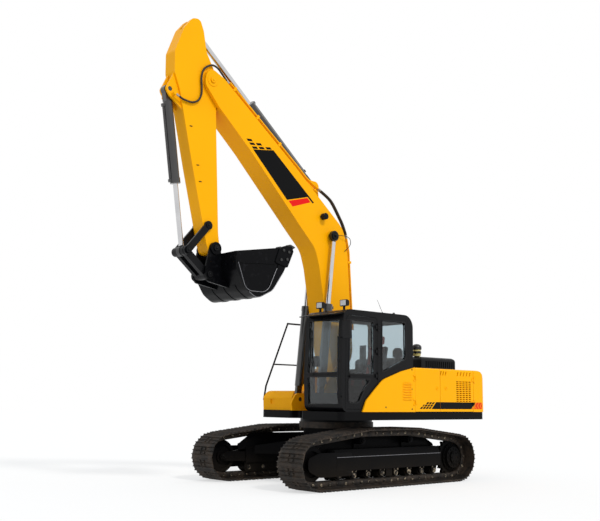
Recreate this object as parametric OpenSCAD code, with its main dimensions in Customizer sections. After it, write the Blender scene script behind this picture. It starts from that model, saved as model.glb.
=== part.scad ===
// Crawler excavator with a one-piece boom, arm and general-purpose bucket.
// X points forward, Y to the cab side and Z up. Lengths are in millimetres.

/* [Undercarriage] */
// distance between the centre lines of the two tracks
track_gauge = 2380; // [2000:10:2800]
// width of a track shoe
shoe_width = 600; // [450:50:800]
// distance from the sprocket's axis to the idler's axis
tumbler_distance = 3520; // [3000:10:4200]
// radius from a wheel's axis to the tips of the grousers
end_radius = 425; // [380:5:470]
// number of shoes on one track
shoe_count = 50; // [40:1:60]
// height of the grouser bars
grouser_height = 26; // [15:1:40]
// height of the track frames' underside
frame_bottom = 300; // [290:5:330]
// height of the carbody's underside
ground_clearance = 450; // [400:10:500]

/* [Upper structure] */
// overall width of the upper structure
upper_width = 2720; // [2500:10:3000]
// height of the deck's underside
deck_bottom = 1110; // [1080:5:1160]
// depth of the deck's skirt
skirt_depth = 140; // [100:5:180]
// height of the engine house and counterweight
house_top = 2035; // [1950:5:2150]
// distance from the swing axis to the counterweight's rear face
tail_length = 2760; // [2600:10:2900]
// distance from the swing axis to the front of the deck
deck_front = 1190; // [1100:10:1300]
// depth of the counterweight from its front face to its rear face
weight_depth = 430; // [380:10:500]

/* [Cab] */
// width of the cab
cab_width = 930; // [900:10:1050]
// height of the cab's roof above the ground
cab_top = 2965; // [2850:5:3100]
// distance from the swing axis to the cab's rear wall
cab_rear = 630; // [560:10:640]
// thickness of the cab's walls and door
cab_wall = 60; // [40:5:80]

/* [Boom] */
// distance from the swing axis to the boom's foot pin
foot_x = 140; // [100:5:200]
// height of the boom's foot pin
foot_z = 1930; // [1880:5:1980]
// distance from the foot pin to the arm's pivot
boom_length = 5690; // [5400:10:6000]
// angle of the boom's chord above the horizontal
boom_angle = 58.2; // [50:0.1:60]
// width of the boom's box
boom_width = 430; // [380:10:460]
// thickness of the boom's and the arm's plates
plate = 16; // [10:1:30]

/* [Arm] */
// distance from the arm's pivot to the bucket's pin
arm_length = 2870; // [2600:10:3100]
// angle of the arm from the boom's chord
arm_turn = -151.6; // [-155:0.1:-145]
// width of the arm's box
arm_width = 280; // [260:5:300]

/* [Bucket] */
// angle of the bucket from the arm
bucket_turn = 93.4; // [85:0.1:100]
// width of the bucket over its side plates
bucket_width = 1180; // [900:10:1300]
// thickness of the bucket's shell
bucket_plate = 30; // [20:1:40]
// number of teeth on the lip
tooth_count = 5; // [3:1:6]

/* [Hidden] */
fine = 48;
track_y = track_gauge / 2;
axle_x = tumbler_distance / 2;
shoe_t = 14;
link_h = 105;
pin_h = 50;
rail_face = link_h - pin_h;
shoe_out = rail_face + shoe_t;
tip_h = shoe_out + grouser_height;
pitch_r = end_radius - tip_h;
carrier_x = 600;
carrier_run = 890;
ring_top = deck_bottom - 55;
deck_top = deck_bottom + skirt_depth;
half_w = upper_width / 2;
skin = 40;
cab_left = half_w - 30;
cab_right = cab_left - cab_width;
cab_front = deck_front - 20;
door_rear = 300;
door_front = 1085;
hinge_y = cab_left + 17;
hinge_r = 9;
hinge_z = [1860, (1860 + cab_top - 265) / 2, cab_top - 265];
house_rear = weight_depth - tail_length;
door_seam = -1340;
round_top = 36;
lift_x = 70;
service_hinge = 11;
rod_pin = [2254, 1131];
ram_base = [690, 1450];
lug_x = 3200;
lug_rise = 171;
bend = [2230, 1505];
arm_eye = [-920, 250];
bucket_ram_base = [265, 787];
link_pin = [2930, 545];
guide_pin = [2494, 124];
ear_pin = [111, -446];
boom_pin_r = 45;
pin_r = 40;
pin_gap = 0.05;
slide_gap = 0.1;
rest_gap = 0.4;
tube_wall = 16;
gland = 90;
reach = foot_x + boom_length * cos(boom_angle) + 900;
shift = (tail_length - reach) / 2;

yellow = [0.95, 0.62, 0.02];
black = [0.05, 0.05, 0.055];
grey = [0.22, 0.22, 0.23];
rubber = [0.08, 0.08, 0.08];
chrome = [0.8, 0.8, 0.82];
glass = [0.5, 0.6, 0.62, 0.35];

function unit(v) = v / norm(v);
function left_of(v) = [-v[1], v[0]];
function arc(c, r, a0, a1, n) = [for (i = [0:n]) c + r * [cos(a0 + (a1 - a0) * i / n),
    sin(a0 + (a1 - a0) * i / n)]];

// One corner of an outline, rounded to the radius in its third value.
function corner(a, b, c, n) =
    b[2] == 0 ? [[b[0], b[1]]] :
    let (
        p = [b[0], b[1]],
        u = unit([a[0], a[1]] - p),
        v = unit([c[0], c[1]] - p),
        half = acos(u * v) / 2,
        m = p + unit(u + v) * b[2] / sin(half),
        s = p + u * b[2] / tan(half) - m,
        e = p + v * b[2] / tan(half) - m,
        a0 = atan2(s[1], s[0]),
        d = atan2(e[1], e[0]) - a0,
        turn = d > 180 ? d - 360 : d < -180 ? d + 360 : d
    ) arc(m, b[2], a0, a0 + turn, n);
function rounded(p, n = 6) =
    [for (i = [0:len(p) - 1]) each corner(p[(i + len(p) - 1) % len(p)], p[i], p[(i + 1) % len(p)], n)];

// A smooth line through points, with n steps between each pair.
function smooth(p, n = 4) = concat([for (i = [0:len(p) - 2]) for (k = [0:n - 1])
    let (
        a = p[max(i - 1, 0)],
        b = p[i],
        c = p[i + 1],
        d = p[min(i + 2, len(p) - 1)],
        t = k / n
    ) (2 * b + (c - a) * t + (2 * a - 5 * b + 4 * c - d) * t * t + (3 * b - a - 3 * c + d) * t * t * t) / 2],
    [p[len(p) - 1]]);

// The same outline moved inward by t, for outlines drawn anticlockwise.
function inset(p, t) = [for (i = [0:len(p) - 1])
    let (
        a = p[(i + len(p) - 1) % len(p)],
        b = p[i],
        c = p[(i + 1) % len(p)],
        n0 = left_of(unit(b - a)),
        n1 = left_of(unit(c - b)),
        m = unit(n0 + n1)
    ) b + m * t / (m * n0)];

// An outline in X and Z, drawn out from y0 to y1.
module slab(y0, y1) {
    translate([0, y1, 0])
        rotate([90, 0, 0])
            linear_extrude(y1 - y0)
                children();
}

// An outline in Y and Z, drawn out from x0 to x1.
module run(x0, x1) {
    translate([x0, 0, 0])
        rotate([90, 0, 90])
            linear_extrude(x1 - x0)
                children();
}

module block(x0, x1, y0, y1, z0, z1) {
    translate([x0, y0, z0])
        cube([x1 - x0, y1 - y0, z1 - z0]);
}

module drum(r, y0, y1) {
    translate([0, y0, 0])
        rotate([-90, 0, 0])
            cylinder(r = r, h = y1 - y0, $fn = fine);
}

module bar(a, b, r) {
    d = b - a;
    translate(a)
        rotate([0, acos(d[2] / norm(d)), atan2(d[1], d[0])])
            cylinder(r = r, h = norm(d), $fn = 24);
}

// A round tube along a line of points.
module tube(p, r, sides = 8) {
    n = len(p);
    rings = [for (i = [0:n - 1])
        let (
            t = unit(p[min(i + 1, n - 1)] - p[max(i - 1, 0)]),
            u = unit(cross(t, [0, 1, 0])),
            v = cross(u, t)
        ) for (k = [0:sides - 1]) p[i] + r * (cos(360 * k / sides) * u + sin(360 * k / sides) * v)];
    polyhedron(rings, concat(
        [[for (k = [0:sides - 1]) sides - 1 - k]],
        [[for (k = [0:sides - 1]) (n - 1) * sides + k]],
        [for (i = [0:n - 2]) for (k = [0:sides - 1]) let (j = (k + 1) % sides)
            [i * sides + k, i * sides + j, (i + 1) * sides + j, (i + 1) * sides + k]]));
}

module both_sides() {
    children();
    mirror([0, 1, 0])
        children();
}

// From the swing axis to the part's own origin.
module placed() {
    translate([shift, 0, 0])
        children();
}

module at_boom() {
    translate([foot_x, 0, foot_z])
        rotate([0, -boom_angle, 0])
            children();
}

module at_arm() {
    at_boom()
        translate([boom_length, 0, 0])
            rotate([0, -arm_turn, 0])
                children();
}

module at_bucket() {
    at_arm()
        translate([arm_length, 0, 0])
            rotate([0, -bucket_turn, 0])
                children();
}

// Tracks: the pitch line runs under the wheels and over the carrier rollers.
run_v = [carrier_x - axle_x, carrier_run - end_radius];
run_a = atan2(run_v[1], run_v[0]) - acos(pitch_r / norm(run_v));
run_l = sqrt(run_v * run_v - pitch_r * pitch_r);
end_l = pitch_r * (run_a + 90) * PI / 180;
loop_l = tumbler_distance + 2 * (end_l + run_l + carrier_x);
link_pitch = loop_l / shoe_count;
function half_loop(d) =
    d < axle_x ? [d, end_radius - pitch_r] :
    d < axle_x + end_l ? let (a = (d - axle_x) / pitch_r * 180 / PI - 90)
        [axle_x + pitch_r * cos(a), end_radius + pitch_r * sin(a)] :
    d < axle_x + end_l + run_l ? let (
        t = (d - axle_x - end_l) / run_l,
        p = [axle_x + pitch_r * cos(run_a), end_radius + pitch_r * sin(run_a)]
    ) p + t * ([carrier_x, carrier_run] - p) :
    [carrier_x - (d - axle_x - end_l - run_l), carrier_run];
function on_loop(d) =
    d < loop_l / 2 ? half_loop(d) : let (p = half_loop(loop_l - d)) [-p[0], p[1]];
link_pins = [for (i = [0:shoe_count - 1]) on_loop((i + 0.5) * link_pitch)];
function pin_at(i) = link_pins[(i + shoe_count) % shoe_count];
function link_dir(i) = unit(pin_at(i + 1) - pin_at(i));
function loop_at(h) = [for (i = [0:shoe_count - 1])
    let (m = unit(link_dir(i - 1) + link_dir(i))) pin_at(i) - left_of(m) * h / (m * link_dir(i))];
shoe_form = [[6, shoe_out], [14, tip_h], [30, shoe_out], [78, shoe_out], [92, tip_h], [106, shoe_out],
    [150, shoe_out], [164, tip_h], [180, shoe_out]];

module track(y) {
    outer = [for (i = [0:shoe_count - 1]) for (q = shoe_form)
        pin_at(i) + link_dir(i) * q[0] * link_pitch / 188 - left_of(link_dir(i)) * q[1]];
    slab(y - shoe_width / 2, y + shoe_width / 2)
        difference() {
            polygon(outer);
            polygon(loop_at(rail_face + 0.5));
        }
}

module chain(y) {
    for (side = [-1, 1])
        slab(y + side * 58 - 20, y + side * 58 + 20)
            difference() {
                polygon(loop_at(rail_face));
                polygon(loop_at(-pin_h));
            }
}

module track_left() {
    color(grey) placed()
        track(track_y);
}

module track_right() {
    color(grey) placed()
        track(-track_y);
}

module chains() {
    color(grey) placed()
        both_sides()
            chain(track_y);
}

tread_r = sqrt(pitch_r * pitch_r - link_pitch * link_pitch / 4) - pin_h;
roller_r = 72;
roller_z = end_radius - pitch_r + pin_h + roller_r + 0.5;
roller_x = [for (i = [0:7]) -1190 + 340 * i];
carrier_r = 62;
carrier_z = carrier_run - pin_h - carrier_r - 4;
fork_y = 96;

module track_frame() {
    run(-1330, 1280)
        polygon([for (p = [[-160, frame_bottom], [160, frame_bottom], [160, 520], [95, 640], [-95, 640],
            [-160, 560]])
            [track_y + p[0], p[1]]]);
    for (side = [-1, 1])
        block(-75, 75, track_y + side * 114 - 12, track_y + side * 114 + 12, 170, frame_bottom + 10);
    for (side = [-1, 1]) {
        slab(track_y + side * (fork_y + 20) - 20, track_y + side * (fork_y + 20) + 20)
            polygon(rounded([[1270, 330, 0], [1700, 345, 40], [1840, 380, 40], [1840, 470, 40],
                [1700, 505, 40], [1270, 550, 0]]));
        for (x = roller_x)
            slab(track_y + side * (fork_y + 12) - 12, track_y + side * (fork_y + 12) + 12)
                polygon(rounded([[x - 55, roller_z - 35, 30], [x + 55, roller_z - 35, 30],
                    [x + 75, frame_bottom + 20, 0], [x - 75, frame_bottom + 20, 0]]));
    }
    for (x = [-carrier_x, carrier_x])
        block(x - 45, x + 45, track_y - 130, track_y - 90.3, 600, carrier_z + 50);
    slab(track_y - 250, track_y - 110)
        polygon(rounded([[-1300, 320, 0], [-1300, 590, 0], [-1600, 600, 60], [-1960, 520, 80],
            [-1960, 330, 80],
            [-1600, 260, 60]]));
}

module track_frames() {
    color(black) placed()
        both_sides()
            track_frame();
}

module sprocket() {
    teeth = 21;
    translate([-axle_x, track_y, end_radius]) {
        slab(-30, 30)
            polygon([for (i = [0:teeth - 1]) for (q = [[0, 352], [0.16, 352], [0.36, 300], [0.8, 300]])
                q[1] * [cos((i + q[0]) * 360 / teeth), sin((i + q[0]) * 360 / teeth)]]);
        drum(235, -109.8, 60);
        drum(190, 55, 120);
        drum(110, 115, 150);
    }
}

module sprockets() {
    color(black) placed()
        both_sides()
            sprocket();
}

module idler() {
    translate([axle_x, track_y, end_radius])
        difference() {
            union() {
                drum(tread_r - 0.5, -85, 85);
                drum(tread_r + 28, -36, 36);
                drum(70, -fork_y + 0.2, fork_y - 0.2);
            }
            for (side = [-1, 1])
                difference() {
                    drum(tread_r - 60, side * 80 - 30, side * 80 + 30);
                    drum(115, -100, 100);
                }
        }
}

module rollers() {
    color(black) placed()
        both_sides() {
            idler();
            for (x = roller_x)
                translate([x, track_y, roller_z]) {
                    drum(roller_r, -82, 82);
                    drum(34, -fork_y + 0.2, fork_y - 0.2);
                }
            for (x = [-carrier_x, carrier_x])
                translate([x, track_y, carrier_z]) {
                    drum(carrier_r, -85, 85);
                    drum(30, -90, -80);
                    drum(44, 80, 100);
                }
        }
}

tow_eye = [780, 565];
tow_r = 36;
tow_plate = 50;

module carbody() {
    leg = [[300, ground_clearance + 8], [1500, ground_clearance + 8], [1500, ground_clearance + 150],
        [760, ground_clearance + 265], [300, ground_clearance + 280]];
    color(black) placed()
        difference() {
            union() {
                translate([0, 0, ground_clearance])
                    cylinder(r = 640, h = 310, $fn = 64);
                translate([0, 0, ground_clearance + 290])
                    cylinder(r = 600, h = ring_top - 110 - ground_clearance - 290, $fn = 64);
                intersection() {
                    for (a = [50, 130, 230, 310])
                        rotate([0, 0, a])
                            slab(-170, 170)
                                polygon(leg);
                    block(-1300, 1300, -track_y + 160.2, track_y - 160.2, 0, ring_top);
                }
                for (x = [-1, 1])
                    translate([0, 0, tow_eye[1] - tow_plate / 2])
                        linear_extrude(tow_plate)
                            polygon([for (p = [[550, -160], [800, -75], [840, -40], [840, 40], [800, 75],
                                [550, 160]])
                                [p[0] * x, p[1]]]);
            }
            for (x = [-1, 1])
                translate([tow_eye[0] * x, 0, tow_eye[1] - tow_plate])
                    cylinder(r = tow_r, h = 2 * tow_plate, $fn = 64);
        }
}

module slew_ring() {
    color(grey) placed()
        translate([0, 0, ring_top - 110])
            difference() {
                cylinder(r = 680, h = 110 - rest_gap, $fn = 96);
                translate([0, 0, -1])
                    cylinder(r = 520, h = 120, $fn = 96);
            }
}

// Plan of the deck, seen from above.
deck_plan = rounded([[deck_front, half_w - 15, 90], [80 - tail_length, half_w - 15, 110],
    [-tail_length + 20, 500, 900], [-tail_length + 20, -500, 900], [80 - tail_length, 15 - half_w, 110],
    [700, 15 - half_w, 120], [700, -470, 60], [560, -400, 60], [560, 290, 60], [deck_front, 360, 60]]);

module boom_bracket(side) {
    difference() {
        slab(side * 245 - 20, side * 245 + 20)
            polygon(rounded([[-620, deck_top - 5, 0], [880, deck_top - 5, 0], [900, 1380, 60],
                [790, 1560, 110],
                [600, 1560, 60], [340, 1960, 160], [200, 2075, 130], [20, 2040, 130], [-440, 1500, 200],
                [-620, 1400, 0]]));
        translate([foot_x, 0, foot_z])
            drum(boom_pin_r + 30 + pin_gap, -300, 300);
        translate([ram_base[0], 0, ram_base[1]])
            drum(pin_r + pin_gap, -300, 300);
    }
}

module deck() {
    color(black) placed() {
        difference() {
            translate([0, 0, deck_bottom])
                linear_extrude(skirt_depth)
                    polygon(deck_plan);
            translate([0, 0, deck_bottom - 1])
                linear_extrude(skirt_depth - 19)
                    polygon(inset(deck_plan, 30));
        }
        translate([0, 0, ring_top])
            cylinder(r = 660, h = deck_top - ring_top - 15, $fn = 96);
        for (y = [-245, 245])
            block(260 - tail_length, 540, y - 20, y + 20, deck_bottom + 10, deck_top - 5);
    }
    color(yellow) placed()
        for (side = [-1, 1])
            boom_bracket(side);
}

// Hinges of the service doors: a knuckle between two fixed leaves that hold the pin.
module upright_leaves(x, y, side, zs) {
    for (z = zs) {
        for (dz = [-52, 32])
            block(min(x - side * 3, x + side * 50), max(x - side * 3, x + side * 50),
                min(y, y - sign(y) * 13),
                max(y, y - sign(y) * 13), z + dz, z + dz + 20);
        translate([x, y, z - 45])
            cylinder(r = 6, h = 90, $fn = 24);
    }
}

module upright_knuckles(x, y, side, zs) {
    for (z = zs)
        difference() {
            union() {
                translate([x, y, z - 30])
                    cylinder(r = 10, h = 60, $fn = 32);
                block(min(x, x + side * 50), max(x, x + side * 50), min(y, y - sign(y) * 13),
                    max(y, y - sign(y) * 13), z - 30, z + 30);
            }
            translate([x, y, z - 40])
                cylinder(r = 6 + pin_gap, h = 80, $fn = 32);
        }
}

service_z = [1420, 1850];

module counterweight() {
    color(yellow) placed() {
        difference() {
            intersection() {
                translate([0, 0, deck_top])
                    linear_extrude(house_top - deck_top)
                        polygon(rounded([[house_rear, half_w, 0], [60 - tail_length, half_w, 130],
                            [-tail_length, 500, 900], [-tail_length, -500, 900],
                            [60 - tail_length, -half_w, 130],
                            [house_rear, -half_w, 0]]));
                slab(-half_w, half_w)
                    polygon(rounded([[house_rear, deck_top, 0], [house_rear, house_top, 0],
                        [160 - tail_length, house_top, 200], [-tail_length, 1500, 400],
                        [-tail_length, deck_top, 0]]));
                run(-tail_length, house_rear)
                    polygon(rounded([[-half_w, deck_top, 0], [half_w, deck_top, 0],
                        [half_w, house_top, round_top],
                        [-half_w, house_top, round_top]]));
            }
            for (y = [-450, 450])
                translate([house_rear - lift_x, y, house_top - 120])
                    cylinder(r = 40, h = 200, $fn = 32);
        }
        upright_leaves(house_rear, half_w + service_hinge, -1, service_z);
    }
}

hood_rear = house_rear + 55;
hood_front = -1275;
hood_hinge = [hood_rear - 14, house_top + 14];
hood_hinge_y = [-500, 680];

module engine_house() {
    x1 = -cab_rear - 15;
    color(black) placed() {
        difference() {
            block(house_rear + 2, x1, rest_gap + skin - half_w, half_w - skin - rest_gap, deck_top,
                house_top);
            block(house_rear + 32, x1 - 30, 44 + skin - half_w, half_w - skin - 44, deck_top - 1,
                house_top - 30);
            block(door_seam - 4, x1 + 1, -half_w, -470, deck_top - 1, house_top + 1);
            block(hood_rear + 35, hood_front - 35, -750, 930, house_top - 50, house_top + 1);
            block(house_rear + 70, door_seam - 60, half_w - skin - 60, half_w, deck_top + 60, house_top - 60);
            block(door_seam + 40, x1 - 60, half_w - skin - 60, half_w, deck_top + 60, house_top - 60);
            block(house_rear + 70, door_seam - 60, -half_w, 60 + skin - half_w, deck_top + 60,
                house_top - 60);
        }
        for (y = hood_hinge_y)
            translate([hood_hinge[0], y, hood_hinge[1]]) {
                for (dy = [-72, 42]) {
                    block(-11, 11, dy, dy + 30, -16, 0);
                    drum(12, dy, dy + 30);
                }
                drum(7, -60, 60);
            }
    }
}

module engine() {
    color(grey) placed()
        block(house_rear + 180, -1150, -480, 640, deck_top, house_top - 75);
}

module hood() {
    z0 = house_top + rest_gap;
    slat_pitch = 57;
    slats = floor((hood_front - hood_rear - 90) / slat_pitch);
    color(black) placed() {
        difference() {
            intersection() {
                slab(-790, 970)
                    polygon(rounded([[hood_rear, z0, 0], [hood_front, z0, 0], [hood_front, z0 + 200, 60],
                        [hood_front - 65, z0 + 235, 60], [hood_rear + 65, z0 + 235, 60],
                        [hood_rear, z0 + 200, 60]]));
                run(hood_rear, hood_front)
                    polygon(rounded([[-790, z0, 0], [970, z0, 0], [970, z0 + 235, 70],
                        [-790, z0 + 235, 70]]));
            }
            block(hood_rear + 30, hood_front - 30, -760, 940, z0 - 1, z0 + 205);
            for (i = [0:slats - 1])
                for (y = [-840, 900])
                    block(hood_rear + 50 + slat_pitch * i, hood_rear + 78 + slat_pitch * i, y, y + 110,
                        z0 + 40, z0 + 160);
        }
        for (y = hood_hinge_y)
            translate([hood_hinge[0], y, hood_hinge[1]])
                difference() {
                    union() {
                        drum(12, -40, 40);
                        block(0, 20, -40, 40, -10, 10);
                    }
                    drum(7 + pin_gap, -60, 60);
                }
    }
}

module side_cover() {
    x0 = -cab_rear - 15;
    color(yellow) placed() {
        difference() {
            slab(cab_left + 4, half_w)
                polygon(rounded([[x0, deck_top, 0], [690, deck_top, 0], [600, 1440, 120], [420, 1600, 160],
                    [190, 1800, 400], [-300, 1960, 400], [x0, house_top, 0]]));
            for (i = [0:7])
                block(x0 + 110, x0 + 310, half_w - 8, half_w + 1, 1450 + 42 * i, 1468 + 42 * i);
        }
        upright_leaves(x0, half_w + service_hinge, 1, service_z);
    }
}

module door_panel(x0, x1, side) {
    y1 = side * half_w;
    y0 = y1 - side * skin;
    difference() {
        run(x0 + 4, x1 - 4)
            polygon(rounded([[y0, deck_top + 6, 0], [y1, deck_top + 6, 0], [y1, house_top, round_top],
                [y0, house_top, 0]]));
        children();
    }
}

module door_front_left() {
    x1 = -cab_rear - 15;
    color(yellow) placed() {
        door_panel(door_seam, x1, 1);
        upright_knuckles(x1, half_w + service_hinge, -1, service_z);
    }
}

// Air slots: a field of short slots and a row of slanted ones under the shoulder.
slot_pitch = 92;
slot_columns = min(5, floor((door_seam - house_rear - 150) / slot_pitch));

module air_slots(y) {
    for (i = [0:slot_columns - 1])
        for (k = [0:10])
            block(house_rear + 80 + slot_pitch * i, house_rear + 150 + slot_pitch * i, y - 60, y + 60,
                1440 + 36 * k, 1458 + 36 * k);
    for (x = [for (i = [0:2]) door_seam - 190 + 70 * i,
        for (i = [0:slot_columns - 1]) house_rear + 80 + slot_pitch * i])
        slab(y - 60, y + 60)
            polygon([[x + 30, 1915], [x + 58, 1915], [x + 28, 1990], [x, 1990]]);
}

module door_rear_left() {
    color(yellow) placed() {
        door_panel(house_rear + 4, door_seam, 1)
            air_slots(half_w);
        upright_knuckles(house_rear, half_w + service_hinge, 1, service_z);
    }
}

module door_right() {
    color(yellow) placed() {
        door_panel(house_rear + 4, door_seam, -1)
            air_slots(-half_w);
        upright_knuckles(door_seam, -half_w - service_hinge, -1, service_z);
    }
}

tank_front = -260;

module tanks() {
    color(yellow) placed() {
        difference() {
            intersection() {
                slab(-half_w, -480)
                    polygon(rounded([[door_seam, deck_top, 0], [tank_front, deck_top, 0],
                        [tank_front, house_top, 90],
                        [door_seam, house_top, 0]]));
                run(door_seam, tank_front)
                    polygon(rounded([[-half_w, deck_top, 0], [-480, deck_top, 0], [-480, house_top, 0],
                        [-half_w, house_top, round_top]]));
            }
            block(door_seam + 30, tank_front - 30, 30 - half_w, -510, deck_top + 20, house_top - 30);
            block(-806, -794, -half_w - 1, 6 - half_w, deck_top - 1, house_top + 1);
        }
        for (x = [-560, -1050])
            translate([x, -900, house_top - 2]) {
                cylinder(r = 95, h = 14, $fn = 48);
                cylinder(r = 72, h = 52, $fn = 48);
            }
        upright_leaves(door_seam, -half_w - service_hinge, 1, service_z);
    }
}

box_rear = -250;
box_top = 1575;
lid_top = box_top + 32;
lid_hinge = [box_rear + 10, lid_top + 10];
lid_hinge_y = [-1150, -650];

// Side and front views of the toolbox with its lid on.
module toolbox_form() {
    intersection() {
        slab(42.2 - half_w, -490)
            polygon(rounded([[box_rear, deck_top, 0], [655, deck_top, 0], [665, 1480, 60], [600, lid_top, 50],
                [box_rear, lid_top, 0]]));
        run(box_rear, 700)
            polygon(rounded([[42.2 - half_w, deck_top, 0], [-490, deck_top, 0], [-490, lid_top, 55],
                [42.2 - half_w, lid_top, 125]]));
    }
}

module toolbox() {
    color(yellow) placed() {
        difference() {
            toolbox_form();
            block(box_rear - 1, 700, -half_w, -480, box_top, lid_top + 1);
            block(box_rear + 30, 590, 95 - half_w, -520, deck_top + 30, box_top + 1);
            block(642, 700, -1105, -980, 1365, 1455);
        }
        for (y = lid_hinge_y)
            translate([lid_hinge[0], y, lid_hinge[1]]) {
                for (dy = [-52, 32])
                    block(-10, 10, dy, dy + 20, box_top - lid_hinge[1] - 5, 10);
                drum(6, -45, 45);
            }
    }
}

module toolbox_lid() {
    color(yellow) placed() {
        difference() {
            intersection() {
                toolbox_form();
                block(box_rear + 6, 700, -half_w, -480, box_top + rest_gap, lid_top + 1);
            }
            for (y = lid_hinge_y)
                for (dy = [-56, 28])
                    block(box_rear - 1, box_rear + 26, y + dy, y + dy + 28, box_top - 1, lid_top + 1);
        }
        for (y = lid_hinge_y)
            translate([lid_hinge[0], y, lid_hinge[1]])
                difference() {
                    union() {
                        drum(10, -27, 27);
                        block(0, 45, -27, 27, -12, 4);
                    }
                    drum(6 + pin_gap, -40, 40);
                }
    }
}

// Side view of the cab's outer skin.
cab_side = rounded([[-cab_rear, deck_top, 0], [cab_front - 30, deck_top, 120], [cab_front, 1850, 500],
    [cab_front - 55, cab_top, 170], [-cab_rear, cab_top, 220]], 8);
door_side = [[door_front - 30, cab_top - 100, 80], [door_rear, cab_top - 100, 60], [door_rear, 1740, 60],
    [430, 1625, 120], [600, 1470, 100], [700, deck_top + 40, 60], [door_front - 10, deck_top + 40, 40]];
door_window = rounded([[990, 1880, 50], [965, cab_top - 175, 60], [390, cab_top - 175, 60], [390, 1880, 50]]);
door_low_window = rounded([[1000, 1400, 50], [1000, 1800, 50], [470, 1800, 50], [640, 1600, 60],
    [760, 1400, 60]]);
quarter_window = rounded([[180, 1930, 60], [180, cab_top - 135, 60], [-430, cab_top - 135, 90],
    [-430, 2180, 60]]);
right_window = rounded([[1010, 1560, 60], [980, cab_top - 125, 60], [-430, cab_top - 125, 90],
    [-430, 1880, 60],
    [300, 1560, 60]]);
rear_window = [2120, cab_top - 145];

module front_windows(y0, y1, grow) {
    block(cab_front - 250, cab_front + 60, y0 - grow, y1 + grow, 1900 - grow, cab_top - 175 + grow);
    block(cab_front - 250, cab_front + 60, y0 - grow, y1 + grow, 1370 - grow, 1830 + grow);
}

module cab_shell() {
    color(black) placed() {
        difference() {
            slab(cab_right, cab_left)
                polygon(cab_side);
            slab(cab_right + cab_wall, cab_left - cab_wall)
                polygon(inset(cab_side, cab_wall));
            slab(cab_left - 2 * cab_wall, cab_left + 10)
                polygon(rounded(door_side));
            slab(cab_left - 2 * cab_wall, cab_left + 10)
                polygon(quarter_window);
            slab(cab_right - 10, cab_right + 2 * cab_wall)
                polygon(right_window);
            front_windows(cab_right + 90, cab_left - 90, 0);
            block(-cab_rear - 10, -cab_rear + 2 * cab_wall, cab_right + 110, cab_left - 110, rear_window[0],
                rear_window[1]);
        }
        for (z = hinge_z) {
            block(door_rear - 50, door_rear + 6, cab_left - 20, hinge_y + 6, z - 60, z - 32);
            block(door_rear - 50, door_rear + 6, cab_left - 20, hinge_y + 6, z + 32, z + 60);
            translate([door_rear, hinge_y, z - 50])
                cylinder(r = hinge_r, h = 100, $fn = 24);
        }
        for (x = [[-440, 170], [250, 880]])
            block(x[0], x[1], cab_right + 90, cab_left - 90, cab_top - 10, cab_top + 14);
        slab(cab_right + 40, cab_left - 40)
            polygon(rounded([[cab_front - 250, cab_top - 50, 0], [cab_front + 150, cab_top - 115, 6],
                [cab_front + 155, cab_top - 97, 6], [cab_front - 250, cab_top - 15, 0]]));
    }
}

module cab_glass() {
    color(glass) placed() {
        intersection() {
            slab(cab_right + 50, cab_left - 50)
                difference() {
                    polygon(inset(cab_side, 20));
                    polygon(inset(cab_side, 30));
                }
            union() {
                front_windows(cab_right + 90, cab_left - 90, -rest_gap);
                block(-cab_rear - 10, -cab_rear + 2 * cab_wall, cab_right + 110 + rest_gap,
                    cab_left - 110 - rest_gap, rear_window[0] + rest_gap, rear_window[1] - rest_gap);
            }
        }
        slab(cab_left - 30, cab_left - 20)
            polygon(inset(quarter_window, 0.5));
        slab(cab_right + 20, cab_right + 30)
            polygon(inset(right_window, 0.5));
    }
}

module cab_door() {
    color(black) placed() {
        difference() {
            slab(cab_left - cab_wall, cab_left)
                polygon(inset(rounded(door_side), 6));
            slab(cab_left - 2 * cab_wall, cab_left + 10)
                polygon(door_window);
            slab(cab_left - 2 * cab_wall, cab_left + 10)
                polygon(door_low_window);
        }
        block(940, 990, cab_left - 5, cab_left + 30, 1825, 1855);
        for (z = hinge_z)
            difference() {
                union() {
                    translate([door_rear, hinge_y, z - 30])
                        cylinder(r = 16, h = 60, $fn = 32);
                    block(door_rear, door_rear + 60, cab_left - 4, hinge_y + 4, z - 30, z + 30);
                }
                translate([door_rear, hinge_y, z - 40])
                    cylinder(r = hinge_r + pin_gap, h = 80, $fn = 32);
            }
    }
}

module door_glass() {
    color(glass) placed()
        slab(cab_left - 30, cab_left - 20) {
            polygon(inset(door_window, 0.5));
            polygon(inset(door_low_window, 0.5));
        }
}

cab_mid = (cab_left + cab_right) / 2;
cab_floor = deck_top + cab_wall;

module seat() {
    color(rubber) placed() {
        slab(cab_mid - 250, cab_mid + 250)
            polygon(rounded([[-150, 1690, 30], [330, 1690, 40], [340, 1790, 40], [260, 1800, 0],
                [-150, 1800, 0]]));
        slab(cab_mid - 235, cab_mid + 235)
            polygon(rounded([[-160, 1800 + rest_gap, 0], [-40, 1800 + rest_gap, 0], [-165, 2430, 40],
                [-275, 2430, 40]]));
        slab(cab_mid - 130, cab_mid + 130)
            polygon(rounded([[-270, 2430 + rest_gap, 0], [-180, 2430 + rest_gap, 0], [-200, 2600, 35],
                [-290, 2600, 35]]));
        block(-80, 250, cab_mid - 180, cab_mid + 180, cab_floor, 1690 - rest_gap);
    }
}

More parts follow.
